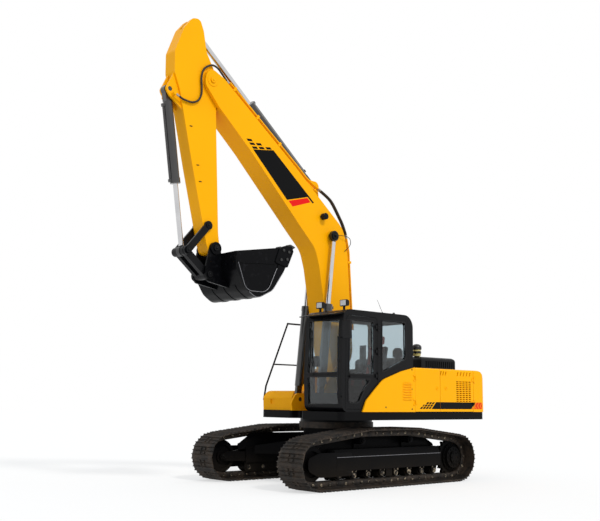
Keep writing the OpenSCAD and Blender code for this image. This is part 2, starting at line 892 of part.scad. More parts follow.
module console() {
    color(grey) placed() {
        for (side = [-1, 1])
            translate([0, cab_mid + side * 330, 0]) {
                slab(-62, 62)
                    polygon(rounded([[-100, cab_floor, 0], [330, cab_floor, 0], [430, 1820, 40],
                        [400, 1900, 40],
                        [-100, 1900, 60]]));
                bar([350, 0, 1890], [372, 0, 2010], 11);
                translate([375, 0, 2030])
                    sphere(r = 30, $fn = 32);
            }
        slab(cab_right + cab_wall + 10, cab_right + cab_wall + 60)
            polygon([[1005, cab_floor], [1018, cab_floor], [1050, cab_floor + 40], [1065, 1900], [1065, 2020],
                [1015, 2020]]);
        slab(cab_right + cab_wall + 5, cab_right + cab_wall + 190)
            polygon(rounded([[1010, 2010, 15], [1050, 2005, 15], [1070, 2190, 15], [1030, 2195, 15]]));
        for (side = [-1, 1])
            slab(cab_mid + side * 90 - 50, cab_mid + side * 90 + 50)
                polygon([[700, cab_floor], [900, cab_floor], [900, cab_floor + 70]]);
    }
}

rail_top = cab_top - 35;
grab_x = cab_front + 45;
function cab_face(z) = lookup(z, [[deck_top, cab_front - 30], [1850, cab_front], [cab_top, cab_front - 55]]);

module handrails() {
    y = 25 - half_w;
    grab_y = cab_left - 25;
    color(black) placed() {
        bar([640, y, 1430], [590, y, 1700], 17);
        bar([590, y, 1700], [60, y, rail_top], 17);
        bar([60, y, rail_top], [-900, y, rail_top], 17);
        bar([-900, y, rail_top], [-900, y, house_top], 17);
        bar([410, y, 2118], [-900, y, 2118], 14);
        bar([-300, y, rail_top], [-300, y, house_top], 14);
        for (p = [[590, y, 1700], [60, y, rail_top], [-900, y, rail_top]])
            translate(p)
                sphere(r = 20, $fn = 24);
        bar([grab_x, grab_y, 1480], [grab_x, grab_y, 2500], 15);
        for (z = [1500, 2480])
            translate([grab_x, grab_y, z]) {
                sphere(r = 18, $fn = 24);
                bar([0, 0, 0], [cab_face(z) + 0.8 - grab_x, 0, 0], 12);
            }
    }
}

mirror_z = cab_top - 515;

module side_mirror() {
    color(black) placed() {
        slab(cab_left + 60, cab_left + 240)
            polygon(rounded([[cab_front - 12, mirror_z, 18], [cab_front + 30, mirror_z, 18],
                [cab_front + 38, mirror_z + 310, 18], [cab_front - 4, mirror_z + 310, 18]]));
        block(cab_front - 100, cab_front - 40, cab_left + rest_gap, cab_left + 14, mirror_z + 220,
            mirror_z + 280);
        bar([cab_front - 70, cab_left + 10, mirror_z + 250],
            [cab_front + 10, cab_left + 100, mirror_z + 220], 13);
    }
}

module stacks() {
    color(black) placed() {
        translate([-850, 760, house_top]) {
            cylinder(r = 60, h = 330, $fn = 32);
            translate([0, 0, 210])
                cylinder(r = 95, h = 120, $fn = 40);
            translate([0, 0, 325])
                cylinder(r1 = 95, r2 = 50, h = 55, $fn = 40);
        }
        translate([-1000, -300, house_top])
            difference() {
                union() {
                    cylinder(r = 65, h = 480, $fn = 40);
                    cylinder(r = 95, h = 30, $fn = 40);
                }
                translate([0, 0, 380])
                    cylinder(r = 57, h = 200, $fn = 40);
                translate([0, 0, 480])
                    rotate([0, 35, 0])
                        block(-300, 300, -200, 200, 0, 300);
            }
    }
}

module lamp(p) {
    translate(p)
        difference() {
            union() {
                slab(-75, 75)
                    polygon(rounded([[-50, 20, 15], [-20, 0, 0], [30, 0, 0], [30, 110, 0], [-20, 110, 15],
                        [-50, 85, 15]]));
                block(-15, 15, -15, 15, -69.8, 5);
            }
            block(22, 31, -67, 67, 8, 102);
        }
}

module work_lamps() {
    color(black) placed()
        for (y = [cab_right + 130, cab_left - 200])
            lamp([cab_front - 260, y, cab_top + 70]);
}

// Boom: side view with the chord from the foot pin to the arm's pivot along X.
boom_side = rounded([[-120, -30, 110], [-60, -125, 90], [120, -110, 80], [1170, 290, 700], [1900, 575, 500],
    [2230, 660, 500], [2700, 540, 700], [boom_length - 1320, 150, 900], [boom_length - 440, -105, 300],
    [boom_length, -175, 150], [boom_length + 170, -40, 150], [boom_length + 160, 110, 110],
    [boom_length - 50, 250, 120], [boom_length - 1990, 995, 600], [bend[0], bend[1], 500], [1800, 1360, 500],
    [120, 480, 500], [-70, 130, 110]]);
boom_crest = [[120, 480], [1800, 1360], bend, [boom_length - 1990, 995], [boom_length - 50, 250]];
fork_r = 480;

// Height of the boom's upper face above the chord, and its slope.
function boom_top(s) = lookup(s, boom_crest);
function top_turn(s) = atan2(boom_top(s - 10) - boom_top(s + 10), 20);

arm_ram_base = [lug_x, boom_top(lug_x) + lug_rise];

module boom() {
    foot = lug_x - 330;
    toe = lug_x + 330;
    color(yellow) placed()
        at_boom() {
            difference() {
                union() {
                    slab(-boom_width / 2, boom_width / 2)
                        polygon(boom_side);
                    translate([boom_length, 0, 0])
                        drum(105, -boom_width / 2 - 10, boom_width / 2 + 10);
                    translate([rod_pin[0], 0, rod_pin[1]])
                        drum(115, -boom_width / 2 - 8, boom_width / 2 + 8);
                }
                slab(plate - boom_width / 2, boom_width / 2 - plate)
                    polygon(inset(boom_side, plate));
                translate([boom_length, 0, 0])
                    drum(fork_r, -arm_width / 2 - 8, arm_width / 2 + 8);
            }
            drum(boom_pin_r + 30, -270, 270);
            translate([boom_length, 0, 0])
                drum(pin_r, -boom_width / 2 - 20, boom_width / 2 + 20);
            for (side = [-1, 1])
                difference() {
                    union() {
                        slab(side * 95 - 18, side * 95 + 18)
                            polygon([[foot, boom_top(foot) - 14], [toe, boom_top(toe) - 14],
                                arm_ram_base + [92, 40], arm_ram_base + [-92, 40]]);
                        translate([arm_ram_base[0], 0, arm_ram_base[1]])
                            drum(100, side * 95 - 18, side * 95 + 18);
                    }
                    translate([arm_ram_base[0], 0, arm_ram_base[1]])
                        drum(pin_r + pin_gap, -300, 300);
                }
        }
}

// Pressure lines: steel pipes clamped along the boom's upper face,
// hoses over its bend and past the arm's pivot.
pipe_r = 15;
hose_r = 17;
pipe_rise = 58;
pipe_y = [163, 203];
pipe_tip = [lug_x - 60, boom_top(lug_x - 60) + 136];
pipe_knee = [lug_x + 90, boom_top(lug_x + 90) + 88];
upper_pipe = concat([pipe_tip, pipe_knee], [for (s = [lug_x + 250, boom_length - 1990, boom_length - 1780,
    boom_length - 150]) [s, boom_top(s) + pipe_rise]]);
lower_pipe = [for (s = [500, 1000, 1600, 1800, 2060]) [s, boom_top(s) + pipe_rise]];

module clamp(s) {
    translate([s, 0, boom_top(s)])
        rotate([0, top_turn(s), 0])
            block(-22, 22, pipe_y[0] - 18, pipe_y[1] + 18, 0.2, pipe_rise + 26);
}

module boom_pipes() {
    color(yellow) placed()
        at_boom()
            both_sides() {
                for (y = pipe_y)
                    for (line = [upper_pipe, lower_pipe])
                        tube([for (p = line) [p[0], y, p[1]]], pipe_r);
                for (s = [700, 1650, boom_length - 1500, boom_length - 900, boom_length - 300])
                    clamp(s);
            }
}

fitting = [350, 735];
// Points on the line of a pipe from b to its end a, past that end.
function lead(a, b, steps) = [for (d = steps) a + unit(a - b) * d];

bend_hose = concat(lead(pipe_tip, pipe_knee, [1, 42, 84]),
    [[2935, 1455], [2820, 1507], [2690, 1530], [2500, 1545],
    [2330, 1553]], lead(lower_pipe[4], lower_pipe[3], [84, 42, 1]));
arm_hose_y = 174;
arm_hose = concat([for (p = lead(upper_pipe[5], upper_pipe[4], [1, 42, 84]))
        [p[0] - boom_length, pipe_y[0] - arm_hose_y, p[1]]],
    [[50, -8, 282], [160, -4, 240], [238, 0, 140], [228, 0, -40], [118, 0, -165], [-40, 0, -250],
    [-145, 0, -322], [-212, 0, -435], [-198, 0, -575], [-105, 0, -705], [-49, 0, -750], [16, 0, -796]]);

module hoses() {
    color(rubber) placed()
        at_boom()
            both_sides() {
                for (y = pipe_y)
                    tube(smooth([for (p = bend_hose) [p[0], y, p[1]]], 3), hose_r);
                translate([boom_length, arm_hose_y, 0])
                    tube(smooth(arm_hose), hose_r);
            }
}

module boom_lamp() {
    color(black) placed()
        at_boom()
            translate([2660, boom_width / 2 + 60, 1120]) {
                drum(60, -40, 50);
                drum(20, -59.5, -35);
            }
}

// A ram drawn along X from its base pin, with the rod's eye at length l.
module stage(x, r, l) {
    translate([x, 0, 0])
        rotate([0, 90, 0])
            cylinder(r = r, h = l, $fn = 40);
}

// The tube starts past the lugs that hold its base eye, at the end of a neck as wide as the eye.
module barrel(l, r, rod_r, w, neck) {
    difference() {
        union() {
            drum(r * 1.05, -w / 2, w / 2);
            block(0, neck + 5, -w / 2, w / 2, -r * 0.8, r * 0.8);
            stage(neck, r, l - neck);
            stage(l - gland, r * 1.1, gland);
            translate([0, 0, r + 22])
                stage(neck + 40, pipe_r, l - neck - 70);
            for (x = [neck + 40, l - gland + 20])
                block(x, x + 50, -22, 22, r - 10, r + 44);
        }
        stage(neck + 20, r - tube_wall, l - gland * 0.7 - neck - 20);
        stage(l - gland, rod_r + slide_gap, gland + 1);
    }
    drum(pin_r, -w / 2 - 45, w / 2 + 45);
}

// A rod from its piston at l0 to the eye at l1, for a barrel of radius r.
module rod(l0, l1, r, rod_r, w, eye_r) {
    stage(l0, r - tube_wall - slide_gap, 80);
    stage(l0 + 70, rod_r, l1 - l0 - 70 - eye_r * 0.6);
    translate([l1, 0, 0])
        drum(eye_r, -w / 2, w / 2);
}

ram_y = 300;
boom_ram_r = 75;
boom_rod_r = 42;
arm_rod_r = 50;
bucket_rod_r = 42;
boom_eye = [foot_x, foot_z] + [rod_pin[0] * cos(boom_angle) - rod_pin[1] * sin(boom_angle),
    rod_pin[0] * sin(boom_angle) + rod_pin[1] * cos(boom_angle)];
boom_ram = boom_eye - ram_base;
boom_ram_l = norm(boom_ram);
boom_ram_a = atan2(boom_ram[1], boom_ram[0]);
arm_eye_b = [boom_length, 0] + [arm_eye[0] * cos(arm_turn) - arm_eye[1] * sin(arm_turn),
    arm_eye[0] * sin(arm_turn) + arm_eye[1] * cos(arm_turn)];
arm_ram = arm_eye_b - arm_ram_base;
arm_ram_l = norm(arm_ram);
arm_ram_a = atan2(arm_ram[1], arm_ram[0]);
bucket_ram = link_pin - bucket_ram_base;
bucket_ram_l = norm(bucket_ram);
bucket_ram_a = atan2(bucket_ram[1], bucket_ram[0]);

module at_boom_ram() {
    for (side = [-1, 1])
        translate([ram_base[0], side * ram_y, ram_base[1]])
            rotate([0, -boom_ram_a, 0])
                children();
}

module boom_barrels() {
    color(black) placed()
        at_boom_ram()
            barrel(1720, boom_ram_r, boom_rod_r, 56, 245);
}

module boom_rods() {
    color(chrome) placed() {
        at_boom_ram()
            rod(1560, boom_ram_l, boom_ram_r, boom_rod_r, 60, 95);
        both_sides()
            translate([boom_eye[0], 0, boom_eye[1]])
                drum(60, boom_width / 2 + 8.5, ram_y);
    }
}

module at_arm_ram() {
    at_boom()
        translate([arm_ram_base[0], 0, arm_ram_base[1]])
            rotate([0, -arm_ram_a, 0])
                children();
}

module arm_barrel() {
    color(black) placed()
        at_arm_ram()
            barrel(1960, 88, arm_rod_r, 110, 250);
}

module arm_rod() {
    color(chrome) placed()
        at_arm_ram()
            rod(1800, arm_ram_l, 88, arm_rod_r, 90, 95);
}

// Arm: side view with the line from its pivot to the bucket's pin along X.
arm_side = rounded([[-1040, 330, 90], [-1060, 180, 90], [-860, 110, 110], [-500, 60, 300], [-200, -90, 200],
    [160, -135, 200], [560, -105, 300], [arm_length - 270, -95, 300], [arm_length - 90, -112, 80],
    [arm_length + 92, -92, 90], [arm_length + 92, 92, 90], [arm_length - 70, 150, 200], [1500, 400, 400],
    [600, 560, 300], [250, 620, 150], [-30, 715, 150], [-395, 700, 150], [-850, 500, 200]]);

module arm() {
    color(yellow) placed()
        at_arm()
            difference() {
                union() {
                    slab(-arm_width / 2, arm_width / 2)
                        polygon(arm_side);
                    for (side = [-1, 1])
                        slab(side * 85 - 20, side * 85 + 20)
                            polygon(rounded([[-60, 690, 0], [600, 530, 0], [380, 800, 70], [265, 870, 80],
                                [150, 800, 70]]));
                    translate([fitting[0], 0, fitting[1]])
                        for (side = [-1, 1])
                            drum(30, side * 147 - 43, side * 147 + 43);
                    drum(125, -arm_width / 2 - 4, arm_width / 2 + 4);
                }
                difference() {
                    slab(plate - arm_width / 2, arm_width / 2 - plate)
                        polygon(inset(arm_side, plate));
                    drum(150, -200, 200);
                    translate([arm_length, 0, 0])
                        drum(110, -200, 200);
                    translate([guide_pin[0], 0, guide_pin[1]])
                        drum(80, -200, 200);
                }
                slab(-52, 52)
                    polygon(rounded([[-1200, -200, 0], [-480, -200, 0], [-430, 250, 0], [-520, 420, 60],
                        [-1200, 600, 0]]));
                drum(pin_r + pin_gap, -300, 300);
                for (p = [[arm_length, 0], guide_pin, bucket_ram_base])
                    translate([p[0], 0, p[1]])
                        drum(pin_r + pin_gap, -300, 300);
            }
}

module at_bucket_ram() {
    at_arm()
        translate([bucket_ram_base[0], 0, bucket_ram_base[1]])
            rotate([0, -bucket_ram_a, 0])
                children();
}

module bucket_barrel() {
    color(black) placed()
        at_bucket_ram()
            barrel(1560, 78, bucket_rod_r, 110, 195);
}

module bucket_rod() {
    color(chrome) placed()
        at_bucket_ram()
            rod(1130, bucket_ram_l, 78, bucket_rod_r, 90, 85);
}

module strut(a, b, r, y0, y1) {
    d = unit(b - a);
    n = left_of(d) * r * 0.8;
    slab(y0, y1)
        polygon([a - n, b - n, b + n, a + n]);
    for (p = [a, b])
        translate([p[0], 0, p[1]])
            drum(r, y0, y1);
}

module guide_links() {
    color(black) placed()
        at_arm() {
            for (side = [-1, 1])
                mirror([0, side > 0 ? 0 : 1, 0]) {
                    strut(guide_pin, link_pin, 75, 146, 186);
                    translate([link_pin[0], 0, link_pin[1]])
                        drum(pin_r, 52, 205);
                }
            translate([guide_pin[0], 0, guide_pin[1]])
                drum(pin_r, -190, 190);
        }
}

ear_at = [arm_length, 0] + [ear_pin[0] * cos(bucket_turn) - ear_pin[1] * sin(bucket_turn),
    ear_pin[0] * sin(bucket_turn) + ear_pin[1] * cos(bucket_turn)];

module h_link() {
    color(black) placed()
        at_arm()
            difference() {
                union() {
                    for (side = [-1, 1])
                        mirror([0, side > 0 ? 0 : 1, 0])
                            strut(link_pin, ear_at, 80, 56, 140);
                    translate([ear_at[0], 0, ear_at[1]])
                        drum(80, -140, 140);
                }
                translate([link_pin[0], 0, link_pin[1]])
                    drum(pin_r + pin_gap, -300, 300);
            }
}

// Bucket: side view around its pin, with the mouth upward and the lip toward the machine.
bucket_side = rounded([[-110, -75, 0], [-1270, 130, 0], [-1320, 60, 0], [-1150, -290, 300], [-900, -660, 250],
    [-560, -830, 200], [-330, -680, 250], [-118, -350, 200]], 7);
lip = [[-1270, 130], [-1320, 60]];
border = rounded([[-1190, 160, 0], [-785, -702, 220], [-340, -705, 180], [-90, -60, 0]]);

module bucket() {
    half = bucket_width / 2;
    color(black) placed()
        at_bucket() {
            difference() {
                slab(-half, half)
                    polygon(bucket_side);
                slab(bucket_plate - half, half - bucket_plate)
                    polygon(inset(bucket_side, bucket_plate));
                slab(bucket_plate - half, half - bucket_plate)
                    polygon([[-150, 0], [-1400, 204], [-1262, 84], [-160, -118]]);
            }
            both_sides() {
                slab(half - 2, half + 12)
                    difference() {
                        polygon(bucket_side);
                        polygon(border);
                    }
                slab(half - 2, half + 15)
                    polygon([[-112, -78], [-1030, 84], [-950, -205], [-150, -265]]);
                slab(half - 2, half + 32)
                    polygon(rounded([[-930, -170, 20], [-1205, -240, 20], [-1335, 50, 0], [-1300, 140, 20],
                        [-1140, 130, 20],
                        [-1030, 90, 20]]));
                slab(148, 188)
                    polygon(rounded([[-125, -110, 0], [-100, 50, 50], [0, 110, 60], [105, 20, 60],
                        [200, -390, 70],
                        [150, -560, 70], [-330, -640, 0]]));
                drum(105, 148, 212);
                translate([ear_pin[0], 0, ear_pin[1]]) {
                    drum(90, 148, 206);
                    drum(pin_r, 147, 216);
                }
            }
            for (y = [-330, 0, 330])
                slab(y - 45, y + 45)
                    intersection() {
                        difference() {
                            polygon(inset(bucket_side, -8));
                            polygon(inset(bucket_side, 4));
                        }
                        polygon([[-1300, -250], [-1300, -900], [-250, -900], [-250, -600], [-700, -700]]);
                    }
            drum(pin_r, -222, 222);
        }
}

module bucket_teeth() {
    color(grey) placed()
        at_bucket()
            for (i = [0:tooth_count - 1])
                translate([0, (i / (tooth_count - 1) - 0.5) * (bucket_width - 130), 0])
                    intersection() {
                        slab(-50, 50)
                            polygon([lip[0] + [-0.2, 0.2], [-1280, 175], [-1310, 180], [-1425, 152],
                                [-1430, 138],
                                [-1345, 95], lip[1] + [-0.2, 0.2]]);
                        linear_extrude(400)
                            polygon([[-1200, -50], [-1320, -50], [-1440, -28], [-1440, 28], [-1320, 50],
                                [-1200, 50]]);
                    }
}

carbody();
slew_ring();
track_frames();
track_left();
track_right();
chains();
sprockets();
rollers();
deck();
counterweight();
engine_house();
engine();
hood();
side_cover();
door_front_left();
door_rear_left();
door_right();
tanks();
toolbox();
toolbox_lid();
cab_shell();
cab_glass();
cab_door();
door_glass();
seat();
console();
handrails();
side_mirror();
stacks();
work_lamps();
boom();
boom_lamp();
boom_pipes();
hoses();
boom_barrels();
boom_rods();
arm_barrel();
arm_rod();
arm();
bucket_barrel();
bucket_rod();
guide_links();
h_link();
bucket();
bucket_teeth();
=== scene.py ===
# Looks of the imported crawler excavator, piece by piece in the order in which it is put together.
import math

import bpy
from mathutils import Matrix, Vector


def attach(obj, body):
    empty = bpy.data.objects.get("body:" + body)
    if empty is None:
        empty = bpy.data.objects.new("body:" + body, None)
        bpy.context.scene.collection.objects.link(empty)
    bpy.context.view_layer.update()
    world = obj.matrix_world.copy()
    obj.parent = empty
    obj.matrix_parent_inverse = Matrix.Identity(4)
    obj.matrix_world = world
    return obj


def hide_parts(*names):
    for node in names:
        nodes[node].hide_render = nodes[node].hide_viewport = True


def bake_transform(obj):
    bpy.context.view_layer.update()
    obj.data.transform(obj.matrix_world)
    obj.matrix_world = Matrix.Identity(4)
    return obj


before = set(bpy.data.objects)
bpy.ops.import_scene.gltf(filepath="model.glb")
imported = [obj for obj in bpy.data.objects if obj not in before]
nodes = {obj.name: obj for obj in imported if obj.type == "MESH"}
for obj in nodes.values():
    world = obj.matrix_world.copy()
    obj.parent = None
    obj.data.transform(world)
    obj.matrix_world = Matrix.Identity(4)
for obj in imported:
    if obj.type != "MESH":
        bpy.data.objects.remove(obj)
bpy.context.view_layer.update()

# The studio: a camera at the photograph's viewing angle, a wide white floor that keeps a soft shadow,
# and daylight from the cab side under a bright even sky.
bpy.ops.object.select_all(action="DESELECT")
scene = bpy.context.scene
scene.view_settings.view_transform = "Standard"
bpy.ops.object.camera_add(
    location=(10.7055, 11.7876, 1.4324),
    rotation=(math.radians(99.0998), math.radians(-0.6430), math.radians(138.4453)))
camera = bpy.context.object
camera.data.sensor_width = 36
camera.data.lens = 52.368
camera.data.clip_end = 400
scene.camera = camera
bpy.ops.object.light_add(type="SUN", rotation=(math.radians(47), math.radians(-12), math.radians(188)))
daylight = bpy.context.object
daylight.data.energy = 1.45
daylight.data.angle = math.radians(9)
daylight.data.color = (1.0, 0.97, 0.93)


class Field:
    """A socket of a finish. Arithmetic on it adds Math nodes."""

    def __init__(self, finish, socket):
        self.finish = finish
        self.socket = socket

    def math(self, operation, first, second=0.0):
        return self.finish.node("ShaderNodeMath", {"operation": operation}, {0: first, 1: second})

    def __add__(self, other):
        return self.math("ADD", self, other)

    def __sub__(self, other):
        return self.math("SUBTRACT", self, other)

    def __rsub__(self, other):
        return self.math("SUBTRACT", other, self)

    def __mul__(self, other):
        return self.math("MULTIPLY", self, other)

    def __truediv__(self, other):
        return self.math("DIVIDE", self, other)

    def __gt__(self, other):
        return self.math("GREATER_THAN", self, other)

    def __lt__(self, other):
        return self.math("LESS_THAN", self, other)

    def __abs__(self):
        return self.math("ABSOLUTE", self)

    __radd__ = __add__
    __rmul__ = __mul__

    def floor(self):
        return self.math("FLOOR", self)

    def part(self):
        return self.math("FRACT", self)

    def sine(self):
        return self.math("SINE", self)

    def between(self, low, high):
        return (self > low) * (self < high)


class Finish:
    """A procedural finish on a piece's own coordinates, in metres, or the nodes of the world."""

    def __init__(self, name, world=None, **values):
        self.material = world or bpy.data.materials.new(name)
        self.material.use_nodes = True
        self.tree = self.material.node_tree
        self.shader = self.tree.nodes["Background" if world else "Principled BSDF"]
        self.spot = None
        for socket, value in values.items():
            self.shader.inputs[socket.replace("_", " ")].default_value = value

    def node(self, kind, settings=None, sockets=None, out=0):
        made = self.tree.nodes.new(kind)
        for key, value in (settings or {}).items():
            setattr(made, key, value)
        for key, value in (sockets or {}).items():
            if isinstance(value, Field):
                self.tree.links.new(value.socket, made.inputs[key])
            else:
                made.inputs[key].default_value = value
        return Field(self, made.outputs[out])

    def place(self):
        if self.spot is None:
            self.spot = self.node("ShaderNodeTexCoord", out="Object")
        return self.spot

    def axis(self, name):
        return self.node("ShaderNodeSeparateXYZ", None, {0: self.place()}, name)

    def noise(self, scale, detail=3.0):
        return self.node("ShaderNodeTexNoise", None, {"Vector": self.place(), "Scale": scale, "Detail": detail})

    def ramp(self, field, low, high):
        return self.node("ShaderNodeMapRange", {"clamp": True, "interpolation_type": "SMOOTHSTEP"},
                         {0: field, 1: low, 2: high})

    def mix(self, mask, first, second):
        return self.node("ShaderNodeMix", {"data_type": "RGBA"}, {0: mask, 6: first, 7: second}, 2)

    def bump(self, height, strength, distance=0.002):
        return self.node("ShaderNodeBump", None, {"Strength": strength, "Distance": distance, "Height": height})

    def seen(self):
        """1 on the rays that show the backdrop: straight, off metal or through glass."""
        straight, mirrored, through = (self.node("ShaderNodeLightPath", out=kind) for kind in (
            "Is Camera Ray", "Is Glossy Ray", "Is Transmission Ray"))
        return straight.math("MAXIMUM", straight, straight.math("MAXIMUM", mirrored, through))

    def feed(self, **fields):
        for socket, field in fields.items():
            self.tree.links.new(field.socket, self.shader.inputs[socket.replace("_", " ")])

    def on(self, *names):
        for name in names:
            for place in nodes[name].material_slots:
                place.material = self.material


scene.world = bpy.data.worlds.new("surround")
sky = Finish("surround", scene.world, Color=(0.93, 0.97, 1.0, 1), Strength=0.86)
sky_white = sky.node("ShaderNodeBackground", None, {"Color": (1, 1, 1, 1)})
sky_mix = sky.node("ShaderNodeMixShader", None, {0: sky.seen(), 1: Field(sky, sky.shader.outputs[0]), 2: sky_white})
sky.tree.links.new(sky_mix.socket, sky.tree.nodes["World Output"].inputs["Surface"])

bpy.ops.mesh.primitive_plane_add(size=160, location=(0, 0, -0.001))
floor = bpy.context.object
floor.name = "floor"
floor_finish = Finish("white floor", Roughness=0.9, Specular_IOR_Level=0.0, Emission_Strength=1.0)
floor_seen = floor_finish.seen()
floor_finish.feed(
    Base_Color=floor_finish.mix(floor_seen, (0.72, 0.72, 0.72, 1), (0.36, 0.36, 0.36, 1)),
    Emission_Color=floor_finish.mix(floor_seen, (0, 0, 0, 1), (0.60, 0.60, 0.60, 1)))
floor.data.materials.append(floor_finish.material)

# Pressure hoses: braided rubber in a spiral guard, crimped into steel ends. Four cross the bend of the
# boom between its pipes, and two loop past the arm's pivot to the bucket ram's fittings.
boom_turn = math.radians(58.2)
boom_foot = Vector((-0.49919, 0, 1.930))
boom_along = Vector((math.cos(boom_turn), 0, math.sin(boom_turn)))
boom_rise = Vector((-math.sin(boom_turn), 0, math.cos(boom_turn)))
hands = (("left", 1), ("right", -1))
pipe_y = (0.163, 0.203)
hose_radius = 0.017
coil_pitch = 0.022
bend_route = (
    (3.1392, 1.3258), (3.1051, 1.3486), (3.0701, 1.3719), (2.935, 1.455), (2.820, 1.507), (2.690, 1.530),
    (2.500, 1.545), (2.330, 1.553), (2.1396, 1.5325), (2.0998, 1.5191), (2.0609, 1.5060))
arm_route = (
    (5.5409, 0.163, 0.3460), (5.5792, 0.163, 0.3313), (5.6184, 0.163, 0.3163), (5.740, 0.166, 0.282),
    (5.850, 0.170, 0.240), (5.928, 0.174, 0.140), (5.918, 0.174, -0.040), (5.808, 0.174, -0.165),
    (5.650, 0.174, -0.250), (5.545, 0.174, -0.322), (5.478, 0.174, -0.435), (5.492, 0.174, -0.575),
    (5.585, 0.174, -0.705), (5.641, 0.174, -0.750), (5.706, 0.174, -0.796))


def on_boom(s, y, t):
    return boom_foot + boom_along * s + boom_rise * t + Vector((0, y, 0))


def smooth_line(points, steps=8):
    line = []
    for i in range(len(points) - 1):
        a, b, c, d = (points[max(0, min(len(points) - 1, i + k))] for k in (-1, 0, 1, 2))
        for k in range(steps):
            t = k / steps
            line.append((2 * b + (c - a) * t + (2 * a - 5 * b + 4 * c - d) * t ** 2
                         + (3 * b - a - 3 * c + d) * t ** 3) / 2)
    return line + [points[-1]]


def shade(piece, finish, degrees=38):
    bpy.ops.object.select_all(action="DESELECT")
    piece.select_set(True)
    bpy.context.view_layer.objects.active = piece
    bpy.ops.object.shade_smooth_by_angle(angle=math.radians(degrees))
    piece.data.materials.clear()
    piece.data.materials.append(finish.material)


def outward(piece):
    bpy.ops.object.select_all(action="DESELECT")
    piece.select_set(True)
    bpy.context.view_layer.objects.active = piece
    bpy.ops.object.mode_set(mode="EDIT")
    bpy.ops.mesh.select_all(action="SELECT")
    bpy.ops.mesh.normals_make_consistent(inside=False)
    bpy.ops.object.mode_set(mode="OBJECT")


def tube(name, line, radius, finish, sides=14):
    """A closed round tube along a line, with the distance along it kept on its points."""
    verts, faces, along, gone = [], [], [], 0.0
    for i, p in enumerate(line):
        ahead = (line[min(i + 1, len(line) - 1)] - line[max(i - 1, 0)]).normalized()
        across = ahead.cross(Vector((0, 1, 0)))
        across = across.normalized() if across.length > 0.1 else ahead.cross(Vector((1, 0, 0))).normalized()
        level = across.cross(ahead)
        if i:
            gone += (p - line[i - 1]).length
        for k in range(sides):
            turn = 2 * math.pi * k / sides
            verts.append(p + radius * (math.cos(turn) * across + math.sin(turn) * level))
            along.append(gone)
    for i in range(len(line) - 1):
        for k in range(sides):
            j = (k + 1) % sides
            faces.append((i * sides + k, i * sides + j, (i + 1) * sides + j, (i + 1) * sides + k))
    faces.append([sides - 1 - k for k in range(sides)])
    faces.append([(len(line) - 1) * sides + k for k in range(sides)])
    mesh = bpy.data.meshes.new(name)
    mesh.from_pydata(verts, [], faces)
    mesh.attributes.new("along", "FLOAT", "POINT").data.foreach_set("value", along)
    piece = bpy.data.objects.new(name, mesh)
    scene.collection.objects.link(piece)
    outward(piece)
    shade(piece, finish)
    return piece


def facing(point, normal, size=1.0):
    turn = Vector((0, 0, 1)).rotation_difference(Vector(normal)).to_matrix().to_4x4()
    return Matrix.Translation(point) @ turn @ Matrix.Diagonal((size, size, size, 1))


def turned(name, steps, finish, place=Matrix(), sides=20, degrees=38):
    """A round piece drawn out of a disc along its axis: steps are pairs of height and radius."""
    bpy.ops.object.select_all(action="DESELECT")
    bpy.ops.mesh.primitive_circle_add(vertices=sides, radius=steps[0][1], fill_type="NGON")
    piece = bpy.context.object
    bpy.ops.object.mode_set(mode="EDIT")
    bpy.ops.mesh.select_mode(type="FACE")
    bpy.ops.mesh.select_all(action="SELECT")
    bpy.ops.transform.translate(value=(0, 0, steps[0][0]))
    for (z0, r0), (z1, r1) in zip(steps, steps[1:]):
        bpy.ops.mesh.extrude_region_move(TRANSFORM_OT_translate={"value": (0, 0, z1 - z0)})
        bpy.ops.transform.resize(value=(r1 / r0, r1 / r0, 1), center_override=(0, 0, z1))
    bpy.ops.object.mode_set(mode="OBJECT")
    piece.data.transform(place)
    piece.name = name
    outward(piece)
    shade(piece, finish, degrees)
    return piece


hose_finish = Finish("spiral guarded hose", Specular_IOR_Level=0.25)
hose_run = hose_finish.node("ShaderNodeAttribute", {"attribute_name": "along"}, out="Fac")
hose_coil = (hose_run * (2 * math.pi / coil_pitch)).sine() * 0.5 + 0.5
hose_dust = hose_finish.noise(38, 4)
hose_finish.feed(
    Base_Color=hose_finish.mix(hose_coil * 0.5 + hose_dust * 0.4,
                               (0.008, 0.007, 0.006, 1), (0.070, 0.056, 0.040, 1)),
    Roughness=0.72 - hose_coil * 0.2,
    Normal=hose_finish.bump(hose_coil, 0.7, 0.004))
zinc_finish = Finish("zinc plated steel", Metallic=0.9)
zinc_finish.feed(
    Base_Color=zinc_finish.mix(zinc_finish.noise(60, 3), (0.30, 0.29, 0.26, 1), (0.48, 0.47, 0.44, 1)),
    Roughness=0.30 + zinc_finish.noise(90, 3) * 0.25)
ferrule_form = (
    (-0.014, 0.0150), (-0.012, 0.0188), (0.004, 0.0188), (0.006, 0.0174), (0.010, 0.0188), (0.020, 0.0188),
    (0.022, 0.0178), (0.026, 0.0188), (0.036, 0.0188), (0.038, 0.0178), (0.042, 0.0188), (0.052, 0.0188),
    (0.054, 0.0181))
